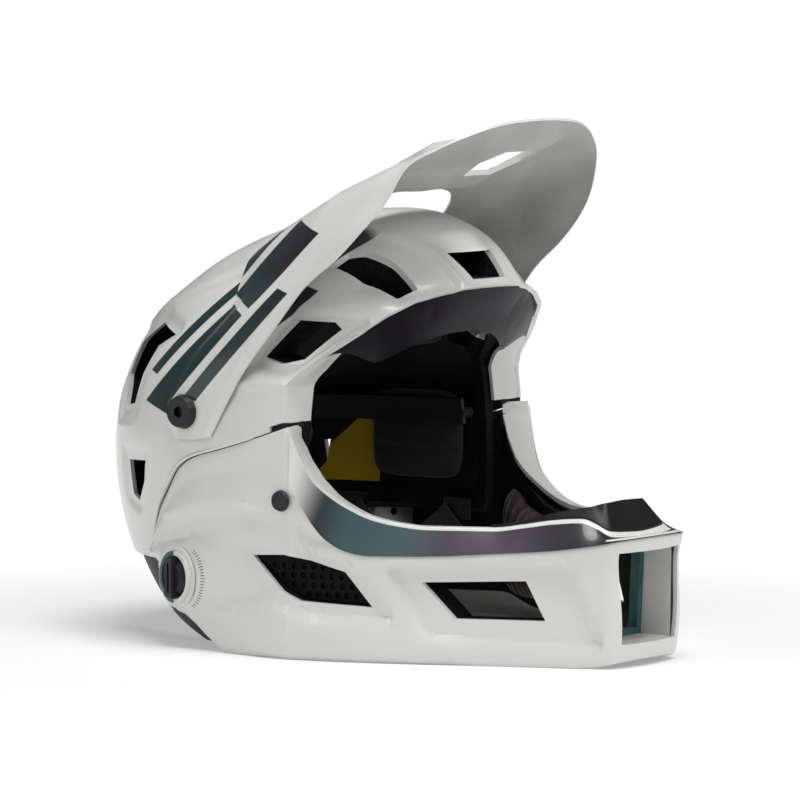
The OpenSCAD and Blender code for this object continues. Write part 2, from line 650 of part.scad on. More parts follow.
// Front face of the racks and the pinion
rack_y = shell_back - 47.6;
box_half_height = pinion_radius + 7;
module cradle_hanger() {
    color(dark) place() {
        dome_band(foam_depth + 3, foam_depth + 4.8, 175, 185, 4, -11, 6, 4);
        translate([-stem_width / 2, rack_y - 1.4, hanger_z - stem_height / 2])
            cube([stem_width, shell_back - foam_depth - rack_y - 3.6, stem_height]);
        translate([-9, rack_y - 2.9, hanger_z - 4]) cube([18, 2, 8]);
    }
}

module cradle() {
    slot = [stem_width + 2 * running_gap, 40, stem_height + 2 * cradle_travel + 0.8];
    color(dark) place() difference() {
        union() {
            dome_band(40, 42.4, 156, 204, 12, -30, 0, 6);
            translate([-36, rack_y - 5.4, dial_z - box_half_height]) cube([72, 8.9, 2 * box_half_height]);
        }
        translate([-slot[0] / 2, rack_y - 21.4, hanger_z - slot[2] / 2]) cube(slot);
        translate([-45, rack_y - 0.4, dial_z - box_half_height + 2.4])
            cube([90, 20, 2 * box_half_height - 4.8]);
        translate([-45, rack_y + 3.5, dial_z - box_half_height - 0.5])
            cube([90, 20, 2 * box_half_height + 1]);
    }
}

tooth_pitch = 2 * PI * pinion_radius / 12;

// Toothed rack above the pinion. The left one is drawn; the right one lies below, turned round.
module rack() {
    length = 44;
    first = -3 * tooth_pitch;
    teeth = [for (k = [0:7]) each let (x = first + tooth_pitch * k)
        [[x - 0.75, 1], [x - 0.3, -0.6], [x + 0.3, -0.6], [x + 0.75, 1]]];
    translate([0, rack_y + 3.4, dial_z]) rotate([90, 0, 0]) linear_extrude(height = 3.4)
        translate([0, pinion_radius]) polygon(concat([[first - 3, 4], [first - 3, 1]], teeth,
            [[first - 3 + length, 1], [first - 3 + length, 4]]));
}

module rack_left() { color(black) place() rack(); }
module rack_right() {
    color(black) place() translate([0, 0, dial_z]) rotate([0, 180, 0]) translate([0, 0, -dial_z]) rack();
}

module rack_cover() {
    color(dark) place() difference() {
        translate([-38, rack_y + 3.8, dial_z - box_half_height]) cube([76, 1.6, 2 * box_half_height]);
        translate([0, rack_y - 1.4, dial_z]) rotate([-90, 0, 0]) cylinder(r = 4 + running_gap, h = 20);
    }
}

module fit_dial() {
    color(black) place() translate([0, rack_y, dial_z]) rotate([-90, 0, 0]) difference() {
        union() {
            linear_extrude(height = 3.4) {
                circle(r = pinion_radius - 0.8);
                for (k = [0:11]) rotate(30 * k + 15)
                    polygon([[3.6, -0.8], [pinion_radius + 0.5, -0.35], [pinion_radius + 0.5, 0.35],
                        [3.6, 0.8]]);
            }
            cylinder(r = 3.2, h = 6);
            translate([0, 0, 3.3]) cylinder(r = 4, h = 3);
            translate([0, 0, 6]) linear_extrude(height = 8) difference() {
                circle(r = dial_radius);
                for (k = [0:17]) rotate(20 * k) translate([dial_radius + 0.8, 0]) circle(r = 1.6);
            }
        }
        translate([0, 0, 12.6]) cylinder(r = dial_radius - 4, h = 4);
    }
}

// Strap through a list of [point, direction of its width], with the thickness across both.
module ribbon(stops, width = strap_width) {
    n = len(stops);
    function side(i) = unit(cross(stops[min(i + 1, n - 1)][0] - stops[max(i - 1, 0)][0], stops[i][1]));
    function at(i, w, t) = stops[i][0] + unit(stops[i][1]) * w * width / 2
        + side(i) * t * strap_thickness / 2;
    sheet([for (w = [-1:0.5:1]) [for (i = [0:n - 1]) at(i, w, 1)]],
        [for (w = [-1:0.5:1]) [for (i = [0:n - 1]) at(i, w, -1)]]);
}

divider = [63.6, 8, 32];
// Upper ends of the side straps at the foam, and the turn of the plates that hold them
anchors = [[dome(77.53, -22.02, foam_depth) - [3.2, 0, 0], -4.5],
    [dome(113.5, -22.02, foam_depth) - [3.9, 0, 0], 18]];

module side_straps() {
    for (k = [0, 1]) {
        a = anchors[k][0] - [0.4, 0, 0];
        d = divider - a;
        across = unit(cross([1, 0, 0], d));
        ribbon([for (t = [0.02:0.12:0.86])
            [[mix(a[0], divider[0], smooth(t / 0.7)), a[1] + d[1] * t, a[2] + d[2] * t], across]]);
    }
}

module straps_left() { color(black) place() side_straps(); }
module straps_right() { color(black) place() mirror([1, 0, 0]) side_straps(); }

module strap_anchors() {
    color(dark) place() both() for (k = [0, 1])
        translate(anchors[k][0]) rotate([0, 0, anchors[k][1]]) translate([1.1, -10, -3]) cube([1.4, 20, 12]);
}

// Disc on the outside of the place where the side straps meet.
module strap_dividers() {
    color(dark) place() both() translate(divider) rotate([0, 90, 0]) difference() {
        translate([0, 0, 1.2]) cylinder(r = 13, h = 2.6);
        for (y = [-5.6, 5.6]) translate([-8, y - 1.3, 0]) cube([16, 2.6, 8]);
    }
}

// Chin straps from the dividers down to the buckle, each round the bar at its end.
buckle_width = strap_width + 4;
buckle_y = -20 - buckle_width / 2;
strap_bar = [25, 29];
module chin_straps() {
    slot = strap_bar[0] - 1.5;
    color(black) place() both() ribbon([[[61.7, 9, 36], [0, 1, 0.5]], [[61.6, 4.5, 28.5], [0, 1, 0.45]],
        [[60.4, -0.5, 22], [0, 1, 0.3]],
        [[56, -8, 15.8], [0, 1, 0.15]], [[47, -13.5, 13.8], [0, 1, 0.05]],
        [[38, -17.5, 13.6], [0, 1, 0]], [[31.5, -19.5, 14.4], [0, 1, 0]],
        [[27.5, -20, 14.8], [0, 1, 0]], [[slot + 1.1, -20, 14.5], [0, 1, 0]],
        [[slot, -20, 13], [0, 1, 0]], [[slot, -20, 9.5], [0, 1, 0]]]);
}

// Outer end of a buckle half with the slot and the bar for its strap.
module buckle_end() {
    difference() {
        translate([18, buckle_y, 8]) cube([strap_bar[1] - 18, buckle_width, 8]);
        translate([strap_bar[0] - 3, buckle_y + 1.6, 4]) cube([3, strap_width + 0.8, 20]);
        translate([strap_bar[0] - 1, buckle_y + 1.6, 13.5]) cube([10, strap_width + 0.8, 8]);
    }
}

module buckle_socket() {
    color(dark) place() {
        difference() {
            translate([-19, buckle_y, 8]) cube([21, buckle_width, 8]);
            translate([-9.6, buckle_y + 3, 10]) cube([20, buckle_width - 6, 4]);
            translate([-19 + 1.6, -25, 13]) cube([8, 10.4, 9]);
        }
        mirror([1, 0, 0]) buckle_end();
    }
}

module buckle_tongue() {
    color(dark) place() {
        translate([2.6, buckle_y, 8]) cube([16.4, buckle_width, 8]);
        translate([-9, buckle_y + 3.4, 10.4]) cube([12, buckle_width - 6.8, 3.2]);
        buckle_end();
    }
}

module buckle_tab() {
    color([0.5, 0.1, 0.1]) place() translate([-17, -24.6, 13.4]) cube([7.2, 5.6, 4.4]);
}

outer_shell();
rear_skirt();
foam_liner();
slip_liner();
port_jambs();
port_gaskets();
brow_band();
brow_pad();
crown_pad_middle();
crown_pad_left();
crown_pad_right();
rear_pad();
ear_pad_left();
ear_pad_right();
visor();
visor_bosses();
visor_inserts();
visor_washers();
visor_screws();
chin_bar_skin();
chin_bar_liner();
chin_band();
chin_deck();
window_tunnel();
window_frame();
side_vent_meshes();
chin_studs();
cheek_pad_left();
cheek_pad_right();
knob_housings();
knob_collars();
knob_left();
knob_right();
latch_plates();
headband();
cradle_hanger();
cradle();
rack_cover();
fit_dial();
rack_left();
rack_right();
straps_left();
straps_right();
strap_anchors();
strap_dividers();
chin_straps();
buckle_socket();
buckle_tongue();
buckle_tab();
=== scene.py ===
"""Full face bike helmet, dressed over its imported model."""
import math

import bpy
import numpy as np
from mathutils import Matrix


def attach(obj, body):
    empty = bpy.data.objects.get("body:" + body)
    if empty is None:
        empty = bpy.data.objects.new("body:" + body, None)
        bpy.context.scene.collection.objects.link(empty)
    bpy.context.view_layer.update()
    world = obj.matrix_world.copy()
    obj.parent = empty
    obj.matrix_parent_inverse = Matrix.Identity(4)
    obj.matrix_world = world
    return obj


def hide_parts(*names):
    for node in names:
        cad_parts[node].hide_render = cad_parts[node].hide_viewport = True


bl_info = {
    "name": "Full Face Bike Helmet",
    "version": (1, 0, 0),
    "blender": (4, 5, 0),
    "location": "View3D > Sidebar > Helmet",
    "description": "Builds the shells, liners, cushions and straps of a full face bike helmet",
    "category": "Add Mesh",
}

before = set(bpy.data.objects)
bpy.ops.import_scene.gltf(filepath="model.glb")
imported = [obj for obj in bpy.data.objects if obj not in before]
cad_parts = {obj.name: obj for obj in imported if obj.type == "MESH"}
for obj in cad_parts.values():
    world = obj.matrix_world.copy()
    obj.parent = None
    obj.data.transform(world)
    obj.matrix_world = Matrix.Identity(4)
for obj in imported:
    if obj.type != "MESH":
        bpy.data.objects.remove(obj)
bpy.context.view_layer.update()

# Shapes are worked out in millimetres from the middle of the wearer's head, with the face
# towards -Y. HEAD_Y is how far that middle lies behind the origin of the model, and STAND is
# the height of the chin bar's lowest edge, on which the helmet stands.
MM = 0.001
HEAD_Y = 45.1
STAND = 4.2

# The head shell: half its width, its reach to the front and back, the height of its widest
# ring, its rise above and drop below that ring, the sag of its rear crown, the flare of its
# cheeks, its wall, and the depth at which its foam ends.
HALF_WIDTH, FRONT, BACK, RING_Z = 106.0, 136.0, 129.0, 108.0
RISE, DROP, CROWN_SAG, CHEEK_FLARE = 138.0, 140.0, 11.0, 6.0
SHELL_WALL, FOAM_DEPTH = 2.6, 28.0

# The chin bar: its wall, the inside of its arms, how far ahead its chin lies, its gap to the
# shell, and how far ahead its rim follows the seam.
BAR_WALL, ARM_INSIDE, CHIN_REACH = 2.6, 86.5, 216.0
SEAM_GAP, SEAM_END = 0.8, 53.0

# Fasteners and the radii of their holes: the visor's screws and the release knobs by (y, z),
# the knobs turned towards the rear, and the studs by (x, y, z).
PIVOT, BOSS_HOLE, SCREW_HOLE = (19.0, 134.0), 6.5, 5.06
KNOB, KNOB_TURN, KNOB_RADIUS = (26.0, 43.0), math.radians(16), 11.5
STUD, STUD_HOLE = (85.0, -50.0, 90.0), 2.6

# Cutters that pass right through reach this far. Edges are sharp from an angle of SHARP
# degrees, or CUT_SHARP on a carved piece, and one that has fewer faces left has failed.
BEYOND = 150.0
SHARP, CUT_SHARP, FEWEST_FACES = 35.0, 32.0, 20

# The seam by (distance ahead, z), the port's edge by (y, z), and the openings and the dished
# fields round them: the brow in plan, those named centre and exhaust as (x, z), the rest in
# the side view as (y, z).
SEAM_LINE = [(-57, 50), (-53, 62), (-45, 80.5), (-37, 91.5), (-28, 103), (-17, 109.2), (10, 116.6),
             (29, 122.3), (53, 130.2)]
PORT_LINE = [(-48, 151), (-52, 156), (-71, 172.4), (-86, 185), (-96, 194.7), (-107.5, 200.7),
             (-112.5, 203)]
BROW_VENT = [(63, -46), (54, -52), (50, -60), (47, -77), (47, -94), (58, -88), (63, -70)]
BROW_DISH = [(65, -42), (52, -48), (44, -62), (36, -84), (30, -105.6), (46, -99), (58, -90), (65, -70)]
TEMPLE_VENT = [(-26, 165), (-41, 185), (-63, 184.5), (-68, 181), (-53, 165), (-40, 162)]
TEMPLE_DISH = [(-22, 163), (-38, 188), (-62, 187.5), (-79, 185), (-70, 178), (-54, 162.5), (-40, 159)]
REAR_SIDE_VENT = [(47, 173), (62, 166), (71, 151), (75, 134), (90, 131), (97, 148), (90, 166), (68, 178)]
REAR_SIDE_DISH = [(44, 177), (60, 169), (67, 151), (71, 131), (91, 127), (101, 148), (93, 170), (68, 182)]
NAPE_SIDE_VENT = [(58, 104), (77, 103), (74, 84), (67, 81), (60, 92)]
NAPE_SIDE_DISH = [(54, 108), (81, 107), (78, 82), (66, 77), (57, 92)]
EXHAUST_VENT = [(14, 150), (34, 156), (30, 186), (12, 190)]
EXHAUST_DISH = [(11, 146), (38, 153), (33, 190), (9, 194)]
CENTRE_VENT = [(-19, 220), (19, 220), (14, 206), (-14, 206)]
CENTRE_DISH = [(-24, 226), (24, 226), (20, 206.5), (-20, 206.5)]
SIDE_VENT = [(-27, 59), (-48, 60.5), (-63, 58), (-81, 52.5), (-95, 34), (-57, 36), (-47, 41)]
SIDE_DISH = [(-24, 62), (-50, 65), (-82, 58), (-104, 29), (-60, 30.5), (-42, 37)]
SCOOP = [(10, 67), (-20, 63.5), (-34, 60), (-50, 37), (-8, 33)]
FRONT_VENT = [(-118, 48), (-168, 50), (-178, 29), (-134, 29)]
FRONT_DISH = [(-108, 54), (-186, 57), (-203, 19), (-126, 21)]
BAR_PANEL = [(40, 72), (-10, 82), (-46, 86), (-74, 68), (-52, 71), (-14, 69.5), (20, 65), (42, 60)]


# ---------------------------------------------------------------- numbers and curves

def mix(a, b, t):
    """Straight blend from a, at t = 0, to b, at t = 1."""
    return a + (b - a) * t


def ease(v):
    """Smooth step: 3t^2 - 2t^3 with t held between 0 and 1."""
    t = np.clip(v, 0, 1)
    return t * t * (3 - 2 * t)


def spow(v, p):
    """Power that keeps the sign."""
    return np.sign(v) * np.abs(v) ** p


def unit(v):
    """Vectors brought to length 1 along the last axis."""
    return v / np.maximum(np.linalg.norm(v, axis=-1, keepdims=True), 1e-9)


def table(f, rows):
    """Smooth lookup in a list of (distance, value): a cubic in each span that never passes
    the values at its ends, with the harmonic mean of the slopes at each row."""
    x, y = np.asarray(rows, float).T
    wide = np.diff(x)
    slope = np.diff(y) / wide
    bend = slope[:-1] * slope[1:] > 0
    inner = np.where(bend, 2 * slope[:-1] * slope[1:] / np.where(bend, slope[:-1] + slope[1:], 1), 0)
    lean = np.concatenate([slope[:1], inner, slope[-1:]])
    f = np.clip(f, x[0], x[-1])
    k = np.clip(np.searchsorted(x, f, side="right") - 1, 0, len(wide) - 1)
    t = (f - x[k]) / wide[k]
    return (y[k] * (1 + 2 * t) * (1 - t) ** 2 + wide[k] * lean[k] * t * (1 - t) ** 2
            + y[k + 1] * t * t * (3 - 2 * t) + wide[k] * lean[k + 1] * t * t * (t - 1))


def curve(points, per):
    """Catmull-Rom curve through the points along axis 0, with `per` steps to each span."""
    p = np.asarray(points, float)
    p = np.concatenate([[2 * p[0] - p[1]], p, [2 * p[-1] - p[-2]]])
    spans = len(p) - 3
    t = np.arange(spans * per + 1) / per
    k = np.minimum(t.astype(int), spans - 1)
    t = (t - k).reshape((-1,) + (1,) * (p.ndim - 1))
    a, b, c, d = p[k], p[k + 1], p[k + 2], p[k + 3]
    return 0.5 * (2 * b + (c - a) * t + (2 * a - 5 * b + 4 * c - d) * t ** 2
                  + (3 * b - a - 3 * c + d) * t ** 3)


def line_distance(line, a, b):
    """Distance of the points (a, b) to an open line: the least of those to its straight
    pieces, each taken at the nearest point between the piece's ends."""
    pts = np.asarray(line, float)
    best = np.full(np.shape(a), np.inf)
    for p, q in zip(pts[:-1], pts[1:]):
        e = q - p
        t = np.clip(((a - p[0]) * e[0] + (b - p[1]) * e[1]) / (e @ e), 0, 1)
        best = np.minimum(best, np.hypot(a - p[0] - t * e[0], b - p[1] - t * e[1]))
    return best


def outline_distance(outline, a, b):
    """Signed distance of the points (a, b) to a closed outline, below zero inside, where a
    level line from the point crosses the outline an odd number of times."""
    pts = np.asarray(outline, float)
    inside = np.zeros(np.shape(a), bool)
    for p, q in zip(pts, np.roll(pts, -1, 0)):
        if p[1] != q[1]:
            reach = (q[0] - p[0]) * (b - p[1]) / (q[1] - p[1]) + p[0]
            inside ^= ((p[1] > b) != (q[1] > b)) & (a < reach)
    best = line_distance(np.concatenate([pts, pts[:1]]), a, b)
    return np.where(inside, -best, best)


def dish(outline, a, b, slope):
    """1 inside an outline, eased to 0 over the width of the slope outside it."""
    return 1 - ease(outline_distance(outline, a, b) / slope)


def crest(line, a, b, width):
    """Bell over a line: e to the power of minus the square of distance over width."""
    return np.exp(-(line_distance(line, a, b) / width) ** 2)


def grid_normals(g, wrap=False):
    """Outward normals of a grid whose rows run up and columns run right, seen from outside:
    the cross product of its steps along a row and along a column."""
    across = np.roll(g, -1, 1) - np.roll(g, 1, 1) if wrap else np.gradient(g, axis=1)
    return unit(np.cross(across, np.gradient(g, axis=0)))


# ---------------------------------------------------------------- meshes

def build(name, points, face_sets, material, sharp=SHARP, second=None, second_faces=None):
    """Mesh object at the origin from points in millimetres and arrays of faces, some of them
    in a second material."""
    co = np.asarray(points, float).reshape(-1, 3) + (0, HEAD_Y, -STAND)
    mesh = bpy.data.meshes.new(name)
    mesh.vertices.add(len(co))
    mesh.vertices.foreach_set("co", (co * MM).ravel())
    sizes = np.concatenate([np.full(len(f), f.shape[1]) for f in face_sets])
    corners = np.concatenate([f.ravel() for f in face_sets])
    mesh.loops.add(len(corners))
    mesh.loops.foreach_set("vertex_index", corners.astype(np.int32))
    mesh.polygons.add(len(sizes))
    mesh.polygons.foreach_set("loop_start", np.concatenate([[0], np.cumsum(sizes)[:-1]]).astype(np.int32))
    mesh.polygons.foreach_set("use_smooth", np.ones(len(sizes), bool))
    mesh.materials.append(material)
    if second is not None:
        mesh.materials.append(second)
        index = np.zeros(len(sizes), np.int32)
        index[second_faces[0]:second_faces[1]] = 1
        mesh.polygons.foreach_set("material_index", index)
    mesh.update(calc_edges=True)
    mesh.set_sharp_from_angle(angle=math.radians(sharp))
    obj = bpy.data.objects.new(name, mesh)
    bpy.context.scene.collection.objects.link(obj)
    return obj


def quads(rows, cols, wrap=False):
    """Four-sided faces of a grid; rows run up and columns run right, seen from outside."""
    j, i = np.meshgrid(np.arange(rows - 1), np.arange(cols if wrap else cols - 1), indexing="ij")
    low, high, right = j * cols, (j + 1) * cols, (i + 1) % cols
    return np.stack([low + i, low + right, high + right, high + i], -1).reshape(-1, 4)


def slab_faces(rows, cols, wrap=False, pole=False):
    """Faces of a closed slab between an outer and an inner grid, with a pole at the top."""
    n = rows * cols
    outer = quads(rows, cols, wrap)
    i = np.arange(cols if wrap else cols - 1)
    nxt = (i + 1) % cols
    foot = np.stack([i, i + n, nxt + n, nxt], -1)
    top_a, top_b = (rows - 1) * cols + i, (rows - 1) * cols + nxt
    sets = [outer, outer[:, ::-1] + n, foot]
    if pole:
        sets.append(np.stack([top_a, top_b, np.full(len(i), 2 * n)], -1))
        sets.append(np.stack([top_b + n, top_a + n, np.full(len(i), 2 * n + 1)], -1))
    else:
        sets.append(np.stack([top_a, top_b, top_b + n, top_a + n], -1))
    if not wrap:
        j = np.arange(rows - 1) * cols
        k = j + cols - 1
        sets.append(np.stack([j, j + cols, j + cols + n, j + n], -1))
        sets.append(np.stack([k, k + n, k + cols + n, k + cols], -1))
    return sets


def slab(name, outer, inner, material, wrap=False, poles=None, sharp=SHARP, second=None):
    """Closed slab between two grids of the same size, its inside in a second material where
    one is given."""
    rows, cols = outer.shape[:2]
    points = [outer.reshape(-1, 3), inner.reshape(-1, 3)]
    if poles is not None:
        points.append(np.asarray(poles))
    sets = slab_faces(rows, cols, wrap, poles is not None)
    span = (len(sets[0]), 2 * len(sets[0])) if second is not None else None
    return build(name, np.concatenate(points), sets, material, sharp, second, span)


def prism(outline, low, high, plane):
    """Points and faces of a closed prism for cutting. plane names the outline's two axes, such
    as 'yz', and low and high are its ends along the third."""
    pts = np.asarray(outline, float)
    area = np.sum(pts[:, 0] * np.roll(pts[:, 1], -1) - np.roll(pts[:, 0], -1) * pts[:, 1])
    if area < 0:
        pts = pts[::-1]
    axes = ["xyz".index(c) for c in plane]
    third = 3 - sum(axes)
    n = len(pts)
    co = np.zeros((2 * n, 3))
    co[:n, axes[0]], co[:n, axes[1]], co[:n, third] = pts[:, 0], pts[:, 1], low
    co[n:, axes[0]], co[n:, axes[1]], co[n:, third] = pts[:, 0], pts[:, 1], high
    i = np.arange(n)
    sides = np.stack([i, (i + 1) % n, (i + 1) % n + n, i + n], -1)
    sets = [sides, i[None, ::-1], i[None] + n]
    if plane == "xz":
        sets = [s[:, ::-1] for s in sets]
    return co, sets


def rod(radius, low, high, place, steps=48):
    """Closed cylinder for cutting, along the local z axis of a 3 by 4 placing matrix."""
    a = 2 * np.pi * np.arange(steps) / steps
    outline = np.stack([radius * np.cos(a), radius * np.sin(a)], -1)
    co, sets = prism(outline, low, high, "xy")
    return co @ place[:, :3].T + place[:, 3], sets


def mirrored(cutter):
    """The same cutter on the other side of the helmet."""
    co, sets = cutter
    return co * (-1, 1, 1), [s[:, ::-1] for s in sets]


def both_sides(*cutters):
    """Each cutter, followed by its mirror image."""
    return [one for cutter in cutters for one in (cutter, mirrored(cutter))]


def carve(obj, cutters):
    """Takes the cutters away from a closed piece and keeps the result as its mesh."""
    helpers = []
    for co, sets in cutters:
        helper = build("cutter", co, sets, obj.data.materials[0])
        step = obj.modifiers.new("cut", "BOOLEAN")
        step.operation, step.solver, step.object = "DIFFERENCE", "MANIFOLD", helper
        helpers.append(helper)
    graph = bpy.context.evaluated_depsgraph_get()
    mesh = bpy.data.meshes.new_from_object(
        obj.evaluated_get(graph), preserve_all_data_layers=True, depsgraph=graph)
    obj.modifiers.clear()
    old, obj.data = obj.data, mesh
    bpy.data.meshes.remove(old)
    if len(mesh.polygons) < FEWEST_FACES:
        raise RuntimeError(f"nothing is left of {obj.name} after cutting")
    for helper in helpers:
        cut = helper.data
        bpy.data.objects.remove(helper)
        bpy.data.meshes.remove(cut)
    mesh.polygons.foreach_set("use_smooth", np.ones(len(mesh.polygons), bool))
    mesh.set_sharp_from_angle(angle=math.radians(CUT_SHARP))


def finish_piece(obj, body, node):
    """Makes a piece ride on its body, and hides the node that it takes the place of."""
    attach(obj, body)
    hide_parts(node)


# ---------------------------------------------------------------- the head shell's form

def dome(th, ph, o):
    """Point of the shell at the angle th round the head and the elevation ph, the depth o
    below its outside: a superellipse in plan whose power, reach and rise change from the
    front to the back, with a sagging rear crown and cheeks that flare beside the port."""
    th, ph, o = np.broadcast_arrays(*(np.asarray(v, float) for v in (th, ph, o)))
    s, c = np.sin(np.radians(th)), np.cos(np.radians(th))
    sp, cp = np.sin(np.radians(ph)), np.maximum(np.cos(np.radians(ph)), 0)
    back = (1 - c) / 2
    up = ph > 0
    ring = cp ** np.where(up, 0.66 + 0.72 * back, 0.25 + 0.75 * back)
    square = 0.85 + 0.09 * back
    reach = mix(FRONT, BACK, back) - o
    x = (HALF_WIDTH - o) * ring * spow(s, square)
    y = -reach * ring * spow(c, square)
    rise = np.where(up, (RISE - o) * np.maximum(sp, 0) ** (0.92 + 0.06 * back), (DROP - o) * sp)
    sag = np.where(up, CROWN_SAG * ease((y + 70) / 100) * sp ** 2, 0)
    flare = (CHEEK_FLARE * np.clip((8 - y) / 60, 0, 1)
             * np.clip((200 - RING_Z - rise) / 49, 0, 1) * np.clip(np.abs(x) / 60, 0, 1))
    return np.stack([x + np.sign(x) * flare, y, RING_Z + rise - sag], -1)


def port_elevation(th, o):
    """Elevation at which the dome of the depth o meets the port's edge, found by halving."""
    low, high = np.zeros(np.shape(th)), np.full(np.shape(th), 70.0)
    edge = [(-p[0], p[1]) for p in PORT_LINE]
    for _ in range(18):
        mid = (low + high) / 2
        p = dome(th, mid, o)
        above = p[..., 2] > np.interp(-p[..., 1], *np.transpose(edge))
        high, low = np.where(above, mid, high), np.where(above, low, mid)
    return (low + high) / 2


def side_point(y, z, o):
    """Point of the dome on the left side that shows at y and z from the side, by halving."""
    front, behind = np.zeros(np.shape(y)), np.full(np.shape(y), 180.0)
    for _ in range(24):
        th = (front + behind) / 2
        low, high = np.full(np.shape(y), -60.0), np.full(np.shape(y), 80.0)
        for _ in range(22):
            ph = (low + high) / 2
            above = dome(th, ph, o)[..., 2] > z
            high, low = np.where(above, ph, high), np.where(above, low, ph)
        past = dome(th, ph, o)[..., 1] > y
        behind, front = np.where(past, th, behind), np.where(past, front, th)
    return dome(th, ph, o)


def seam_cut(gap):
    """Side view of what lies below the seam, lowered by the gap, in (y, z)."""
    f = np.arange(SEAM_LINE[-2][0], SEAM_LINE[0][0] - 1, -2.0)
    seam = [(-a, z - gap) for a, z in zip(f, table(f, SEAM_LINE))]
    return ([(-320, -60), (-320, 133 - gap), (-53, 133 - gap), (-40, 129 - gap), (-40, 126 - gap)]
            + seam + [(200, 50 - gap), (200, -60)])


def port_cut(grow):
    """Side view of the face port, grown to the rear and upwards, in (y, z)."""
    return ([(-48 + grow, -10)] + [(y + grow, z + grow) for y, z in PORT_LINE]
            + [(-160, 206 + grow), (-230, -10)])


def grown(outline, by):
    """Outline moved outwards from its middle by about this much."""
    pts = np.asarray(outline, float)
    middle = pts.mean(0)
    return pts + unit(pts - middle) * by


def vent_cutters(grow=0.0):
    """Prisms through every vent of the head shell, each pair mirrored, with the side vents
    kept to the side of the head."""
    pairs = both_sides(*(prism(grown(outline, grow), low, high, plane) for outline, low, high, plane in (
        (BROW_VENT, 170, 250, "xy"), (TEMPLE_VENT, 42, 132, "yz"), (REAR_SIDE_VENT, 42, 132, "yz"),
        (NAPE_SIDE_VENT, 42, 132, "yz"), (EXHAUST_VENT, 40, 160, "xz"))))
    return pairs + [prism(grown(CENTRE_VENT, grow), -170, -60, "xz")]


def sideways(x, y, z):
    """Placing matrix at a point, whose local z axis runs out to the left."""
    return np.array([[0, 0, 1, x], [0, 1, 0, y], [-1, 0, 0, z]], float)


def pivot_rods(radius, low):
    """Rods along the visor's axis, from this far out, on both sides."""
    return both_sides(rod(radius, low, 140, sideways(0, *PIVOT)))


def dome_slab(name, o_out, o_in, material, cols, rows, low, relief=None, follow=1.0):
    """Closed slab of the dome all the way round, with poles at the crown. The relief moves its
    outside, and its inside by the share that follows."""
    th = 360 * np.arange(cols) / cols
    ph = mix(low, 88.5, (np.arange(rows) / (rows - 1)) ** 0.92)
    th, ph = np.meshgrid(th, ph)
    outer, inner = dome(th, ph, o_out), dome(th, ph, o_in)
    if relief is not None:
        shift = relief(outer)[..., None] * grid_normals(outer, True)
        outer, inner = outer + shift, inner + shift * follow
    poles = [dome(0, 90, o_out), dome(0, 90, o_in)]
    return slab(name, outer, inner, material, True, poles)


def dished(p):
    """The part of the shell's relief that goes inwards, for the foam below it."""
    return np.minimum(shell_relief(p), 0)


def shell_relief(p):
    """How far the shell's outside moves along its normal: dished vents, the folds between
    them, the step along the rear crease and a rolled lip at the port's edge."""
    x, y, z = np.abs(p[..., 0]), p[..., 1], p[..., 2]
    out = np.zeros(x.shape)
    side = ease((x - 55) / 15)
    for depth, where, outline, a, b, slope in (
            (3.4, side, TEMPLE_DISH, y, z, 5), (3.0, ease((z - 190) / 8), BROW_DISH, x, y, 5),
            (2.4, y < -50, CENTRE_DISH, x, z, 5), (2.6, side * (y > 20), REAR_SIDE_DISH, y, z, 6),
            (2.0, side * (y > 20), NAPE_SIDE_DISH, y, z, 5), (2.4, y > 60, EXHAUST_DISH, x, z, 6)):
        out -= depth * where * dish(outline, a, b, slope)
    fold = [(-93, 189), (-74, 196.3), (-55, 201.2), (-20, 210), (20, 214)]
    out += 2.0 * side * crest(fold, y, z, 5) * ease((y + 96) / 10)
    step = np.array([(90, 176), (84, 181), (50.5, 193), (28.7, 200.8), (7, 207.8), (-40, 214)])
    above = z - table(-y, step * (-1, 1))
    near = crest(step, y, z, 14) * ease((x - 30) / 20) * ease((y + 45) / 20)
    out += 1.8 * near * np.where(above > 0, ease(1 - above / 14), ease(1 + above / 4))
    lip = [(0, 149), (-20, 151), (-48, 152)]
    return out + 1.6 * side * crest(lip, y, z, 3)


# ---------------------------------------------------------------- the chin bar's form

# Tables by the distance ahead of the head: half the width of the plan, the heights of the foot,
# of the ridge and of the rim, how far the rim leans in, how deep its jamb goes and how much the
# rim's inner edge rises. BAR_STEPS are the stations of the plan, and BAR_NOSE rounds its chin.
BAR_WIDTH = [(-60, 92), (-57, 93.3), (-45, 98), (-28, 102.6), (-17, 104.8), (0, 106.8), (25, 108),
             (50, 107), (60, 103.5), (75, 98.5), (90, 92), (120, 77), (150, 61), (180, 46), (203, 34.5),
             (210, 31)]
BAR_FOOT = [(-54, 52), (-45, 46), (-37, 31), (-28, 24.5), (-17, 19), (-5, 11.5), (10, STAND),
            (190, STAND), (204, STAND + 1.4), (216, STAND + 4.3)]
BAR_RIDGE = [(-54, 55), (-45, 66), (-28, 77), (-5, 84.5), (10, 87.5), (25, 90), (40, 93.5), (53, 95.5),
             (57, 92), (61, 86), (66, 78), (74, 69), (84, 63.5), (95, 61.5), (122, 62), (152, 64),
             (182, 66.5), (204, 70), (216, 73)]
BAR_RIM = [(53, 129.3), (57, 118), (61, 108), (66, 100), (74, 93), (84, 87), (95, 82), (108, 79),
           (122, 77.5), (152, 77.5), (167, 79.5), (182, 82), (195, 83), (204, 80), (210, 77), (216, 75)]
BAR_LEAN = [(50, 0), (60, 2), (75, 6), (204, 7), (216, 6)]
BAR_JAMB = [(50, 4), (53.5, 18), (66, 18), (84, 15), (95, 13.5), (150, 12.5), (180, 14), (195, 17),
            (204, 19), (216, 20)]
BAR_RISE = [(160, 0), (182, 2.5), (195, 4), (204, 8.5), (210, 12.5), (216, 15)]
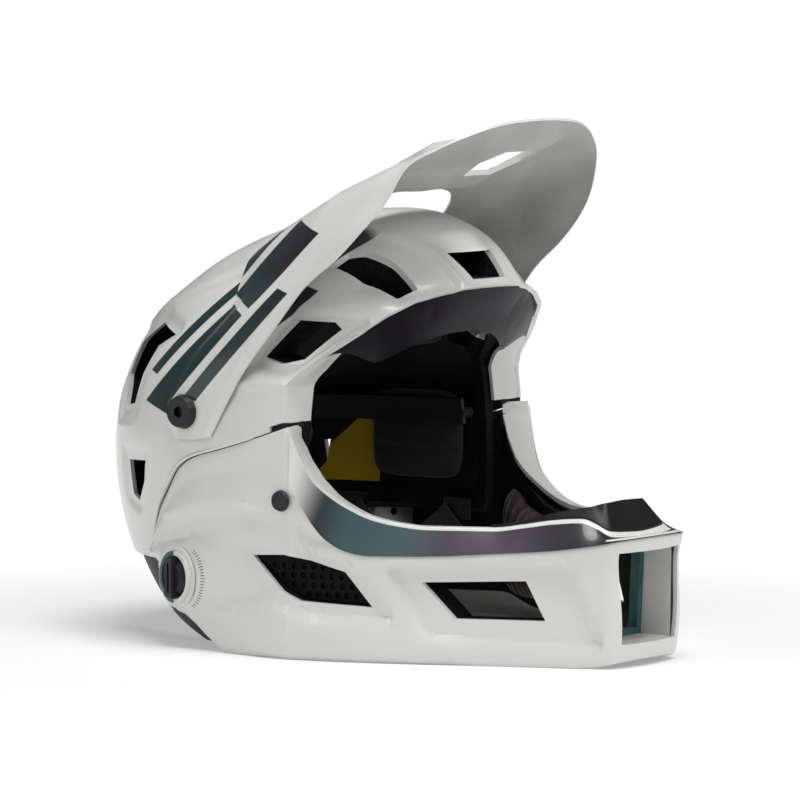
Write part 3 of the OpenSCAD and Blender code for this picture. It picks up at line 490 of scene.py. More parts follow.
BAR_STEPS = [-54, -50, -45, -37, -28, -17, -5, 10, 25, 40, 50, 53.5, 57, 61, 66, 74, 84, 95, 108, 122,
             137, 152, 167, 182, 195, 204, 210]
BAR_NOSE = [(26, 3.5), (13, 1), (0, 0)]


def bar_plan(first, last=None, per=8):
    """Plan of the bar from the right arm's end round the chin to the left arm's end, or of the
    left half alone as far as `last`: its points with the inward directions, which are normals
    but turn towards a point before the mouth at the chin, and the distances ahead."""
    half = [(table(f, BAR_WIDTH), -f) for f in BAR_STEPS if f >= first and (last is None or f <= last)]
    if last is None:
        half += [(x, y - CHIN_REACH) for x, y in BAR_NOSE]
        pts = [(-x, y) for x, y in half] + half[-2::-1]
    else:
        pts = half[::-1]
    p = curve(pts, per)
    t = unit(np.gradient(p, axis=0))
    normal = np.stack([-t[:, 1], t[:, 0]], -1)
    focus = unit(np.array([0, -180.0]) - p)
    inward = unit(mix(normal, focus, ease((-p[:, 1] - 193) / 10)[:, None]))
    return (p, inward), -p[:, 1]


def bar_grid(plan, insets, heights):
    """Rows of points at these insets from the plan and these heights: (rows, stations, 3)."""
    p, inward = plan
    xy = p[None] + inward[None] * insets[..., None]
    return np.concatenate([xy, heights[..., None]], -1)


def bar_rim(f):
    """Height of the rim: just under the seam, then by its own table."""
    return np.where(f < SEAM_END, table(f, SEAM_LINE) - SEAM_GAP, table(f, BAR_RIM))


def skin_profile(f, w, per=6):
    """Profile of the skin at the forward distances f, from the inner foot over the ridge to
    the inner edge of the rim, as rows of insets and heights."""
    foot, ridge, rim = table(f, BAR_FOOT), table(f, BAR_RIDGE), bar_rim(f)
    lean, jamb = table(f, BAR_LEAN), table(f, BAR_JAMB)
    top = rim + table(f, BAR_RISE)
    one = np.ones_like(f)
    rows = [(5 * one, foot + w), (one * (1.8 + 0.8 * w), foot + w),
            (w * one, mix(foot, ridge, 0.12) + 0.3 * w), ((w - 1.2) * one, mix(foot, ridge, 0.38)),
            ((w - 0.4) * one, mix(foot, ridge, 0.8)), ((w - 2.2) * one, ridge - 0.2 * w),
            (lean / 2 + w - 0.6, mix(ridge, rim, 0.5)), (lean + w, rim - 1.4 - 0.6 * w),
            (lean + 1.6 + 0.5 * w, rim - w), (jamb, top - w)]
    dense = curve(np.array(rows), per)
    return dense[:, 0], dense[:, 1]


def knob_place():
    """Placing matrix of the left release knob, on the bar's side and turned to the rear."""
    c, s = math.cos(KNOB_TURN), math.sin(KNOB_TURN)
    turn = np.array([[c, -s, 0], [s, c, 0], [0, 0, 1]])
    return turn @ sideways(0, 0, 0) + [[0, 0, 0, v] for v in (table(-KNOB[0], BAR_WIDTH), *KNOB)]


def window_cutter(grow, low, high):
    """Prism through the window in the chin, which is narrower at its foot."""
    w = 27 + grow
    outline = [(-w, 66 + grow), (w, 66 + grow), (w - 3, 17 - grow), (3 - w, 17 - grow)]
    return prism(outline, low, high, "xz")


def bar_relief(p):
    """Dished surrounds of the side and front vents, with a scoop that runs back from the side
    vent, the boss round the knob, and soft folds above and below them."""
    x, y, z = np.abs(p[..., 0]), p[..., 1], p[..., 2]
    out = -3.2 * (x > 70) * dish(SIDE_DISH, y, z, 4.5)
    fade = (x > 70) * ease((12 - y) / 40) * ease((outline_distance(SIDE_DISH, y, z) + 1) / 5)
    out -= 2.8 * fade * dish(SCOOP, y, z, 7)
    out -= 3.6 * (x > 33) * (y < -100) * dish(FRONT_DISH, y, z, 7)
    out -= 1.3 * (x > 60) * dish(BAR_PANEL, y, z, 4)
    out += 1.8 * (x > 80) * (1 - ease((np.hypot(y - KNOB[0], z - KNOB[1]) - 17.5) / 3.5))
    out += 1.2 * (x > 80) * crest([(19, 27), (-4, 26), (-17, 26)], y, z, 4)
    out += 1.4 * (x > 60) * crest([(-27, 87.3), (-57, 80)], y, z, 3.2)
    lower = z - table(-y, [(30, 25), (60, 24.5), (83, 22), (108, 20.5), (150, 19)])
    out += 1.3 * ease((-18 - y) / 20) * (1 - ease((lower + 1.5) / 3)) * ease((150 + y) / 20)
    return out * ease((z - STAND) / 6)


# ---------------------------------------------------------------- materials

class Value:
    """A number that varies over the surface: wraps a socket, and sums add Math nodes."""

    def __init__(self, graph, socket):
        self.graph, self.socket = graph, socket

    def _math(self, operation, a, b=None):
        links = {0: a} if b is None else {0: a, 1: b}
        node = self.graph.node("ShaderNodeMath", {"operation": operation}, links)
        return Value(self.graph, node.outputs[0])

    def __add__(self, other): return self._math("ADD", self, other)
    def __radd__(self, other): return self._math("ADD", other, self)
    def __sub__(self, other): return self._math("SUBTRACT", self, other)
    def __rsub__(self, other): return self._math("SUBTRACT", other, self)
    def __mul__(self, other): return self._math("MULTIPLY", self, other)
    def __rmul__(self, other): return self._math("MULTIPLY", other, self)
    def __pow__(self, other): return self._math("POWER", self, other)
    def above(self, edge): return self._math("GREATER_THAN", self, edge)
    def least(self, other): return self._math("MINIMUM", self, other)
    def most(self, other): return self._math("MAXIMUM", self, other)
    def size(self): return self._math("ABSOLUTE", self)
    def sine(self): return self._math("SINE", self)
    def part(self): return self._math("FRACT", self)
    def angle(self, other): return self._math("ARCTAN2", self, other)

    def band(self, low, high, soft):
        """1 between low and high, 0 outside, with soft edges."""
        return self.ramp(low - soft, low + soft) * (1 - self.ramp(high - soft, high + soft))

    def ramp(self, low, high):
        """0 at low and 1 at high, smooth between."""
        node = self.graph.node("ShaderNodeMapRange", {"interpolation_type": "SMOOTHSTEP"},
                               {0: self, 1: low, 2: high, 3: 0.0, 4: 1.0})
        return Value(self.graph, node.outputs[0])


class Nodes:
    """A node tree that is filled through one method."""

    def __init__(self, tree):
        self.tree = tree
        tree.nodes.clear()

    def node(self, kind, settings, links):
        """Adds a node: settings first, then the values or links of its sockets."""
        made = self.tree.nodes.new(kind)
        for key, value in settings.items():
            setattr(made, key, value)
        for key, value in links.items():
            socket = made.inputs[key]
            if isinstance(value, Value):
                self.tree.links.new(value.socket, socket)
            elif hasattr(value, "is_output"):
                self.tree.links.new(value, socket)
            else:
                socket.default_value = value
        return made

    def seen(self):
        """1 where a surface is seen directly, in a mirror or through glass."""
        path = self.node("ShaderNodeLightPath", {}, {}).outputs
        rays = [Value(self, path[f"Is {kind} Ray"]) for kind in ("Camera", "Glossy", "Transmission")]
        return rays[0].most(rays[1]).most(rays[2])


class Graph(Nodes):
    """A material and its nodes, with the shader's even values by socket, as Coat_Weight=0.4."""

    def __init__(self, name, **sockets):
        self.material = bpy.data.materials.new(name)
        self.material.use_nodes = True
        super().__init__(self.material.node_tree)
        even = {key.replace("_", " "): value for key, value in sockets.items()}
        self.shader = self.node("ShaderNodeBsdfPrincipled", {}, even)
        self.out = self.node("ShaderNodeOutputMaterial", {}, {0: self.shader.outputs[0]})
        self.place = self.node("ShaderNodeTexCoord", {}, {}).outputs["Object"]

    def axes(self):
        """x, y and z of the surface in millimetres from the middle of the wearer's head."""
        parts = self.node("ShaderNodeSeparateXYZ", {}, {0: self.place})
        x, y, z = (Value(self, parts.outputs[k]) * 1000.0 for k in range(3))
        return x, y - HEAD_Y, z + STAND

    def noise(self, scale, detail=4.0, rough=0.55, warp=0.0, stretch=None):
        """Clouds from 0 to 1 at a scale per metre, stretched along the axes where asked."""
        where = self.place
        if stretch is not None:
            where = self.node("ShaderNodeMapping", {}, {0: where, 3: stretch}).outputs[0]
        node = self.node("ShaderNodeTexNoise", {}, {"Vector": where, "Scale": scale, "Detail": detail,
                                                    "Roughness": rough, "Distortion": warp})
        return Value(self, node.outputs[0])

    def cells(self, scale, feature="F1"):
        """Distance to the middle of the nearest cell."""
        node = self.node("ShaderNodeTexVoronoi", {"feature": feature}, {"Vector": self.place, "Scale": scale})
        return Value(self, node.outputs[0])

    def blend(self, factor, a, b):
        """Colour a where the factor is 0 and colour b where it is 1."""
        a, b = ((*c, 1.0) if isinstance(c, tuple) else c for c in (a, b))
        return self.node("ShaderNodeMix", {"data_type": "RGBA"}, {0: factor, 6: a, 7: b}).outputs[2]

    def wire(self, key, value):
        """Links a value or a colour to a socket of the shader."""
        socket = self.shader.inputs[key]
        self.tree.links.new(value.socket if isinstance(value, Value) else value, socket)

    def surface(self, tone, rough, height, depth_mm, strength):
        """Wires the colour, the roughness where it varies, and a bump of this depth where the
        height goes from 0 to 1, and gives the finished material."""
        self.wire("Base Color", tone)
        if rough is not None:
            self.wire("Roughness", rough)
        bump = {"Strength": strength, "Distance": depth_mm * MM, "Height": height}
        self.wire("Normal", self.node("ShaderNodeBump", {}, bump).outputs[0])
        return self.material


def shade(base, by, plus=0.0):
    """Colour times one number plus another, held at 1."""
    return tuple(min(1.0, c * by + plus) for c in base)


def speed_stripes(g):
    """Three slanted stripes with angled ends along the side of the shell and the visor."""
    x, y, z = g.axes()
    along, across = (z - y) * 0.70711, (z + y) * 0.70711
    slant = along + across * 0.55
    side = x.size().ramp(38.0, 44.0)
    wide = across.band(119.0, 138.0, 0.35) * slant.band(132.0, 276.0, 0.35)
    gap = 1 - slant.band(212.0, 217.0, 0.35)
    upper = across.band(143.5, 149.5, 0.35) * slant.band(150.0, 318.0, 0.35)
    lower = across.band(106.5, 114.0, 0.35) * slant.band(150.0, 236.0, 0.35)
    return (wide * gap + upper + lower).least(1.0) * side


def iridescent(g, a, b, c, scale=16.0):
    """Colour that drifts between three dark tones over the surface."""
    _, y, z = g.axes()
    drift = g.noise(scale, 2.0, 0.5, 0.6)
    first = (drift + z * 0.004 - 0.55).ramp(-0.15, 0.45)
    second = (drift * 0.8 - y * 0.003 - 0.1).ramp(0.25, 0.62)
    return g.blend(second, g.blend(first, a, b), c)


def sprayed(g, tone, rough):
    """Gloss of sprayed paint: roughness that varies a little, and orange peel."""
    return g.surface(tone, g.noise(900.0, 2.0) * 0.08 + rough, g.noise(420.0, 2.0, 0.5), 0.05, 0.35)


def filmed(g, tone, rough):
    """Satin of a printed film: roughness that varies more, and a fine grain."""
    return g.surface(tone, g.noise(700.0, 2.0) * 0.15 + rough, g.noise(900.0, 2.0), 0.02, 0.3)


def shell_paint(name, base):
    """Off-white gloss paint with faint grey clouds towards the rear crown, and stripes."""
    g = Graph(name, Roughness=0.3, Coat_Weight=0.45, Coat_Roughness=0.12)
    _, y, z = g.axes()
    clouds = g.noise(11.0, 3.0, 0.5, 0.3).ramp(0.46, 0.72)
    rear = y.ramp(-60.0, 90.0) * z.ramp(110.0, 175.0)
    paint = g.blend(clouds * rear * 0.62, base, shade(base, 0.62))
    inks = iridescent(g, (0.007, 0.008, 0.009), (0.010, 0.032, 0.034), (0.016, 0.010, 0.020))
    return sprayed(g, g.blend(speed_stripes(g), paint, inks), 0.26)


def plain_paint(name, base):
    """The same off-white paint without stripes, with a printed arc of short ticks before the
    release knobs."""
    g = Graph(name, Roughness=0.3, Coat_Weight=0.4, Coat_Roughness=0.15)
    x, y, z = g.axes()
    dust = g.noise(9.0, 3.0, 0.5).ramp(0.45, 0.75) * 0.16
    paint = g.blend(dust, base, shade(base, 0.72))
    ahead, up = KNOB[0] - y, z - KNOB[1]
    ring = ((ahead * ahead + up * up) ** 0.5).band(18.6, 20.6, 0.12)
    turn = up.angle(ahead)
    ticks = (turn * 12.0).part().band(0.3, 0.62, 0.05) * turn.band(-0.95, 0.95, 0.01)
    side = x.size().above(90.0)
    return sprayed(g, g.blend(ring * ticks * side * 0.9, paint, (0.02, 0.02, 0.02)), 0.27)


def moulded(name, base, rough=0.55, grain=1600.0, depth=0.04, worn=0.25):
    """Moulded plastic with a fine spark-eroded grain and slight patches of wear."""
    g = Graph(name, Roughness=rough, Specular_IOR_Level=0.3)
    patch = g.noise(35.0, 4.0).ramp(0.4, 0.75) * worn
    fine = g.noise(grain, 2.0, 0.6)
    tone = g.blend(patch, base, shade(base, 1.6, 0.01))
    return g.surface(tone, fine * 0.2 + (rough - 0.1), fine, depth, 0.6)


def steel(name, base, rough):
    """Turned steel with fine lines round the screw axis."""
    g = Graph(name, Metallic=1.0, Roughness=rough)
    lines = g.noise(220.0, 3.0, 0.6, 0.0, (0.1, 4.0, 4.0))
    tone = g.blend(lines.ramp(0.3, 0.7) * 0.4, base, shade(base, 0.7))
    return g.surface(tone, lines * 0.2 + (rough - 0.08), lines, 0.02, 0.4)


def bead_foam(name, base):
    """Black foam of small fused beads."""
    g = Graph(name, Roughness=0.85, Specular_IOR_Level=0.1)
    beads = g.cells(420.0, "SMOOTH_F1")
    tone = g.blend(beads.ramp(0.1, 0.7), shade(base, 1.7), base)
    return g.surface(tone, beads * 0.2 + 0.72, 1 - beads, 0.35, 0.8)


def slip_satin(name, base):
    """Thin satin liner with a faint moulded texture and smudges, coloured at the lower rear
    quarters and black above and ahead of them."""
    g = Graph(name, Roughness=0.42, Specular_IOR_Level=0.25)
    _, y, z = g.axes()
    smudge = g.noise(26.0, 4.0, 0.6).ramp(0.42, 0.7) * 0.35
    quarter = y.ramp(27.5, 28.5) * (1 - (y * 0.96 + z).ramp(156.5, 157.5)) * (1 - y.ramp(70.0, 71.0))
    tone = g.blend(quarter, (0.006, 0.006, 0.006), g.blend(smudge, base, shade(base, 0.7)))
    return g.surface(tone, g.noise(60.0, 3.0) * 0.25 + 0.3, g.noise(1200.0, 2.0), 0.03, 0.4)


def band_film(name, base):
    """Satin film that fades in from the shell's paint and shifts from dark grey through teal
    and purple to black."""
    g = Graph(name, Roughness=0.3, Coat_Weight=0.3)
    _, y, z = g.axes()
    drift = g.noise(9.0, 2.0, 0.5) * 30.0
    ahead = 0 - y
    tone = g.blend((ahead + drift).ramp(118.0, 152.0), (0.050, 0.094, 0.100), (0.050, 0.032, 0.054))
    tone = g.blend((ahead + drift * 0.5).ramp(170.0, 198.0), tone, (0.010, 0.010, 0.012))
    tone = g.blend((ahead + drift * 0.3).ramp(70.0, 88.0), (0.022, 0.028, 0.030), tone)
    return filmed(g, g.blend((ahead - z * 0.12).ramp(42.0, 60.0), base, tone), 0.25)


def brow_film(name):
    """Dark satin band under the brow with teal and purple patches."""
    g = Graph(name, Roughness=0.45, Specular_IOR_Level=0.1)
    tones = (0.005, 0.006, 0.007), (0.010, 0.028, 0.030), (0.010, 0.006, 0.012)
    return filmed(g, iridescent(g, *tones, 10.0), 0.28)


def knit_cloth(name, base, rib=0.0):
    """Brushed knit: fine loops in rows, and wider dark red ribs where asked."""
    g = Graph(name, Roughness=0.95, Sheen_Weight=0.35, Sheen_Roughness=0.4)
    x, y, z = g.axes()
    loops = ((y * 5.2).sine() * (z * 4.1 + x * 1.5).sine()) * 0.5 + 0.5
    fuzz = g.noise(1500.0, 3.0, 0.7)
    tone = g.blend(loops * 0.6, shade(base, 0.55), shade(base, 1.5))
    if rib:
        stripe = ((y * (2 * math.pi / rib)).sine() * 0.5 + 0.5).ramp(0.35, 0.85)
        tone = g.blend(stripe * 0.75, tone, (0.10, 0.022, 0.030))
    return g.surface(tone, None, loops * 0.7 + fuzz * 0.5, 0.25, 0.7)


def webbing(name, base):
    """Woven strap: diagonal yarns over a coarse weft."""
    g = Graph(name, Roughness=0.8, Sheen_Weight=0.2)
    _, y, z = g.axes()
    twill = ((z * 3.4 + y * 3.4).sine() * (z * 3.4 - y * 3.4).sine()) * 0.5 + 0.5
    tone = g.blend(twill, shade(base, 0.5), shade(base, 1.7))
    return g.surface(tone, twill * 0.2 + 0.65, twill, 0.2, 0.8)


def perforated(name, base):
    """Matte punched sheet with a fine weave between the holes."""
    g = Graph(name, Roughness=0.7, Specular_IOR_Level=0.15)
    dust = g.noise(120.0, 4.0).ramp(0.45, 0.7) * 0.5
    return g.surface(g.blend(dust, base, shade(base, 1.9)), None, g.cells(900.0), 0.1, 0.5)


PAINTS = {}


def make_materials(colours):
    """Makes every material, under the name that the pieces call it by."""
    white = tuple(colours.shell)
    PAINTS.update(
        shell=shell_paint("shell_paint", white),
        visor=shell_paint("visor_paint", white),
        plain=plain_paint("chin_bar_paint", white),
        under=moulded("visor_underside", tuple(colours.underside), 0.5, 1100.0, 0.05, 0.3),
        skirt=moulded("skirt_plastic", (0.012, 0.012, 0.013), 0.5),
        foam=bead_foam("bead_foam", (0.007, 0.007, 0.008)),
        slip=slip_satin("slip_satin", tuple(colours.slip)),
        band=band_film("band_film", white),
        brow=brow_film("brow_film"),
        deck=moulded("deck_satin", (0.006, 0.006, 0.007), 0.45, 900.0, 0.02),
        rubber=moulded("seal_rubber", (0.012, 0.012, 0.012), 0.75, 900.0, 0.05),
        cloth=knit_cloth("pad_knit", (0.024, 0.024, 0.026)),
        cheek=knit_cloth("cheek_knit", (0.018, 0.015, 0.017), 7.0),
        dark=moulded("hardware_plastic", (0.016, 0.016, 0.018), 0.45),
        teal=moulded("teal_plastic", tuple(colours.accent), 0.38, 1300.0, 0.03, 0.35),
        coated=steel("coated_screw", (0.055, 0.055, 0.060), 0.38),
        steel=steel("bare_steel", (0.52, 0.53, 0.55), 0.3),
        mesh=perforated("vent_mesh", (0.004, 0.004, 0.0045)),
        strap=webbing("strap_webbing", (0.020, 0.020, 0.023)),
        red=moulded("tab_red", (0.30, 0.020, 0.022), 0.4),
    )


# The carried-over nodes, by the paint that each takes.
NODE_PAINTS = {
    "plain": ["port_jambs", "window_tunnel", "knob_housings"],
    "rubber": ["port_gaskets", "visor_washers"],
    "dark": ["visor_bosses", "knob_left", "knob_right", "cradle_hanger", "cradle",
             "rack_cover", "fit_dial", "rack_left", "rack_right", "strap_anchors", "strap_dividers",
             "buckle_socket", "buckle_tongue"],
    "coated": ["visor_screws", "chin_studs"],
    "steel": ["visor_inserts", "latch_plates"],
    "teal": ["window_frame", "knob_collars"],
    "mesh": ["side_vent_meshes"],
    "red": ["buckle_tab"],
}


# ---------------------------------------------------------------- pieces

def make_shell():
    """Outer shell: the dome with its relief, less the port, what lies under the seam, the
    vents and the holes of the visor's bosses."""
    shell = dome_slab("shell", 0, SHELL_WALL, PAINTS["shell"], 360, 120, -28, shell_relief)
    cutters = [prism(port_cut(0), -BEYOND, BEYOND, "yz"), prism(seam_cut(0), -BEYOND, BEYOND, "yz")]
    carve(shell, cutters + vent_cutters() + pivot_rods(BOSS_HOLE, 80))
    finish_piece(shell, "helmet", "outer_shell")


def sweep(name, points, side, radius, material, sides=10):
    """Closed round bead: circles square to a line of points, with `side` a direction across
    the line at each point."""
    along = unit(np.gradient(points, axis=0))
    up = unit(side - along * np.sum(side * along, -1, keepdims=True))
    left = np.cross(along, up)
    a = 2 * np.pi * np.arange(sides) / sides
    rings = (points[:, None] + radius * np.cos(a)[:, None] * up[:, None]
             + radius * np.sin(a)[:, None] * left[:, None])
    n = len(points)
    ends = [np.arange(sides)[None, ::-1], np.arange(sides)[None] + (n - 1) * sides]
    return build(name, rings.reshape(-1, 3), [quads(n, sides, True)[:, ::-1], *ends], material, 80)


def make_seam_lips(radius):
    """Rolled lip of the shell along the seam to the chin bar, on both sides."""
    f = np.arange(29.0, -57.0, -1.5)
    line = side_point(-f, table(f, SEAM_LINE) + 0.5, 0.1)
    out = unit(line * (1, 1, 0))
    for sign, name in ((1, "seam_lip_left"), (-1, "seam_lip_right")):
        lip = sweep(name, line * (sign, 1, 1), out * (sign, 1, 1), radius, PAINTS["plain"])
        finish_piece(lip, "helmet", "outer_shell")


def make_port_returns():
    """White return of the shell beside the face port: it runs straight inwards from the edge
    of the port, wide above the seam and narrow under the brow, bowed forwards by a sine."""
    line = curve([(-48, 131), (-48, 138), (-48, 145), (-48.3, 150.4), (-52.3, 156.3), (-60, 163),
                  (-71, 172.4), (-80, 180)], 8)
    width = np.interp(line[:, 0], [-80, -71, -54, -48], [5, 9, 22, 23])
    edge = side_point(line[:, 0], line[:, 1], 1.4)
    t = np.linspace(0, 1, 16)[:, None, None]
    front = edge[None] - t * (width[:, None] * (1, 0, 0))[None]
    run = unit(np.gradient(line, axis=0))
    behind = np.stack([0 * run[:, 0], run[:, 1], -run[:, 0]], -1)[None]
    bow = 0.48 * np.sin(np.pi * np.minimum(t * 1.3, 1))
    for sign, name in ((1, "port_return_left"), (-1, "port_return_right")):
        ahead = (front + behind * (0.3 - bow)) * (sign, 1, 1)
        rear = (front + behind * 2.3) * (sign, 1, 1)
        faces = (ahead, rear) if sign < 0 else (ahead[::-1], rear[::-1])
        finish_piece(slab(name, *faces, PAINTS["plain"]), "helmet", "outer_shell")


def make_skirt():
    """Lower rear edge: a strip of the dome 2.4 mm thick, cut to its side view."""
    th, ph = np.meshgrid(np.linspace(96, 264, 150), np.linspace(-52, -16, 60))
    skirt = slab("skirt", dome(th, ph, SHELL_WALL + 0.6), dome(th, ph, SHELL_WALL + 3), PAINTS["skirt"])
    lower = [(-20, -60), (-20, 80), (59, 80), (59, 57), (57.5, 44), (47, 31), (38.5, 27), (26, 17.5),
             (20, 7), (24, STAND), (36, STAND), (49, 9.5), (68, 16.5), (86, 29), (106, 40), (140, 44),
             (180, 44), (180, -60)]
    above = [(59, 57), (59, 120), (180, 120), (180, 57)]
    carve(skirt, [prism(lower, -BEYOND, BEYOND, "yz"), prism(above, -BEYOND, BEYOND, "yz")])
    finish_piece(skirt, "helmet", "rear_skirt")


def nape_cut(half, top):
    """Prism through the rear of the neck, this wide to each side and this high."""
    return prism([(-half, 60), (half, 60), (half, BEYOND), (-half, BEYOND)], -5, top, "xy")


def make_foam():
    """Foam between the shell and the slip liner, dished below the shell's dishes and open
    where the chin bar's arms, the nape cradle and the vents are."""
    foam = dome_slab("foam", SHELL_WALL + 0.5, FOAM_DEPTH, PAINTS["foam"], 240, 90, -20, dished, 0.0)
    arms = both_sides(prism(seam_cut(-1.5), ARM_INSIDE - 1.7, BEYOND, "yz"))
    cutters = [prism(port_cut(3.5), -BEYOND, BEYOND, "yz"), *arms, nape_cut(44, 88)]
    carve(foam, cutters + vent_cutters() + pivot_rods(BOSS_HOLE, 70))
    finish_piece(foam, "helmet", "foam_liner")


def make_slip():
    """Slip liner: a thin dome inside the foam, with the port, the nape and the vents open."""
    slip = dome_slab("slip", FOAM_DEPTH + 0.7, FOAM_DEPTH + 1.5, PAINTS["slip"], 180, 64, -14)
    carve(slip, [prism(port_cut(9), -BEYOND, BEYOND, "yz"), nape_cut(45, 90)] + vent_cutters(1.0))
    finish_piece(slip, "helmet", "slip_liner")


def make_brow_band():
    """Band under the brow: four lines that follow the port's edge, deeper and lower in turn,
    and run together at its ends."""
    th = np.linspace(-62, 62, 180)
    full = 1 - ease((np.abs(th) - 42) / 20)
    start, up = SHELL_WALL + 1.1, np.array([0, 0, 1.0])
    lower, upper = [], []
    for depth, drop, thick in ((FOAM_DEPTH - 3, -12, 2.2), (FOAM_DEPTH - 10, -10, 2.2), (10, -5, 2.2),
                               (start, 0.4, 0.7)):
        o = mix(start, depth, full)
        lower.append(dome(th, port_elevation(th, o), o) + (full * drop)[:, None] * up)
        upper.append(lower[-1] + thick * up)
    band = slab("brow_band_cover", curve(lower, 8), curve(upper, 8), PAINTS["brow"])
    finish_piece(band, "helmet", "brow_band")


def cushion_crown(a, b, ribs_a=0, ribs_b=0):
    """Height of a cushion over the square -1..1: full in the middle, drawn in at the edges,
    with sewn channels where cosines of a and b dip."""
    round_off = np.sqrt(np.maximum(1 - np.abs(a) ** 4, 0)) * np.sqrt(np.maximum(1 - np.abs(b) ** 4, 0))
    channel = np.ones(a.shape)
    if ribs_a:
        channel *= 1 - 0.22 * np.abs(np.cos(np.pi * ribs_a * (a + 1) / 2)) ** 10
    if ribs_b:
        channel *= 1 - 0.22 * np.abs(np.cos(np.pi * ribs_b * (b + 1) / 2)) ** 10
    return round_off * channel


def round_square(rows, cols):
    """Grid on -1..1 whose corners are drawn in to a rounded square, and the plain grid."""
    b, a = np.meshgrid(np.linspace(-1, 1, rows), np.linspace(-1, 1, cols), indexing="ij")
    return a * np.sqrt(1 - 0.22 * b ** 4), b * np.sqrt(1 - 0.22 * a ** 4), a, b


def head_cushion(name, node, th, ph, loft, ribs=(4, 2), follow=False):
    """Cushion on the inside of the liner between two angles and two elevations, which start
    at the port's edge where asked: the dome, raised by the cushion's crown."""
    base = FOAM_DEPTH + 2.8
    a, b, ra, rb = round_square(60, 110)
    angle = mix(th[0], th[1], (a + 1) / 2)
    lift = mix(ph[0], ph[1], (b + 1) / 2)
    if follow:
        lift = lift + port_elevation(angle, base)
    crown = cushion_crown(ra, rb, *ribs)
    inner = dome(angle, lift, base + 1.0 + (loft - 1.0) * crown)
    outer = dome(angle, lift, base)
    pad = slab(name, outer, inner, PAINTS["cloth"], sharp=80)
    finish_piece(pad, "helmet", node)


def make_head_cushions():
    """Cushions of the brow, crown, rear and ears, by their angles, elevations and loft."""
    head_cushion("brow_cushion", "brow_pad", (-58, 58), (4, 17), 8, (10, 0), True)
    head_cushion("crown_cushion_middle", "crown_pad_middle", (-52, 52), (63, 80), 6.5, (3, 1))
    head_cushion("crown_cushion_left", "crown_pad_left", (75, 125), (30, 62), 6.5)
    head_cushion("crown_cushion_right", "crown_pad_right", (235, 285), (30, 62), 6.5)
    head_cushion("rear_cushion", "rear_pad", (148, 212), (28, 58), 6.5)
    head_cushion("ear_cushion_left", "ear_pad_left", (76, 106), (-12, 14), 6.5, (1, 3))
    head_cushion("ear_cushion_right", "ear_pad_right", (254, 284), (-12, 14), 6.5, (1, 3))


def make_cheek_cushions():
    """Cushions beside the mouth: a crowned form on the inside of the chin bar with upright
    ribs, higher at the rear."""
    a, b, ra, rb = round_square(70, 90)
    f = mix(62, 108, (a + 1) / 2)
    half = np.asarray(BAR_WIDTH, float)
    width = np.interp(f, half[:, 0], half[:, 1])
    slope = (np.interp(f + 3, half[:, 0], half[:, 1]) - np.interp(f - 3, half[:, 0], half[:, 1])) / 6
    normal = unit(np.stack([np.ones_like(slope), slope], -1))
    z = mix(22, table(f, [(58, 92), (66, 84), (84, 72), (108, 68)]), (b + 1) / 2)
    crown = cushion_crown(ra, rb) * (1 - 0.12 * np.abs(np.cos(np.pi * 7 * (ra + 1) / 2)) ** 4)
    for side, name, node in ((1, "cheek_cushion_left", "cheek_pad_left"),
                             (-1, "cheek_cushion_right", "cheek_pad_right")):
        def face(depth):
            return np.stack([side * (width - depth * normal[..., 0]), -f - depth * normal[..., 1], z], -1)
        outer, inner = face(17.5 + 0 * f), face(18.7 + 10.8 * crown)
        if side > 0:
            outer, inner = outer[:, ::-1], inner[:, ::-1]
        pad = slab(name, outer, inner, PAINTS["cheek"], sharp=80)
        finish_piece(pad, "chin_bar", node)


# Left half of the visor's rear edge, fold and front edge, from the middle to the arm.
VISOR_REAR = [(0, -60, 253), (28, -56, 250.5), (50, -40, 242), (66, -20, 230), (78, -6, 218),
              (86, -4, 204), (93, -3, 189), (99.5, 8, 174), (104, 20, 159), (106.2, 30, 142),
              (106.2, 31, 128), (106.2, 27, 119)]
VISOR_FOLD = [(0, -104, 275), (30, -102, 273), (52, -93, 267), (70, -80, 259), (84, -66, 249),
              (92, -58, 232), (96, -50, 216), (100, -36, 200), (103.5, -18, 184), (106.2, -1, 162),
              (106.2, 6, 142), (106.2, 13, 119)]
VISOR_FRONT = [(0, -142, 292), (30, -140, 290.5), (50, -134.5, 286), (70, -125, 278), (84, -116, 269),
               (91, -107, 250), (96, -96, 236), (98.5, -80, 220), (101, -60, 204), (103.5, -40, 180),
               (106, -20, 155), (107, 1, 121)]


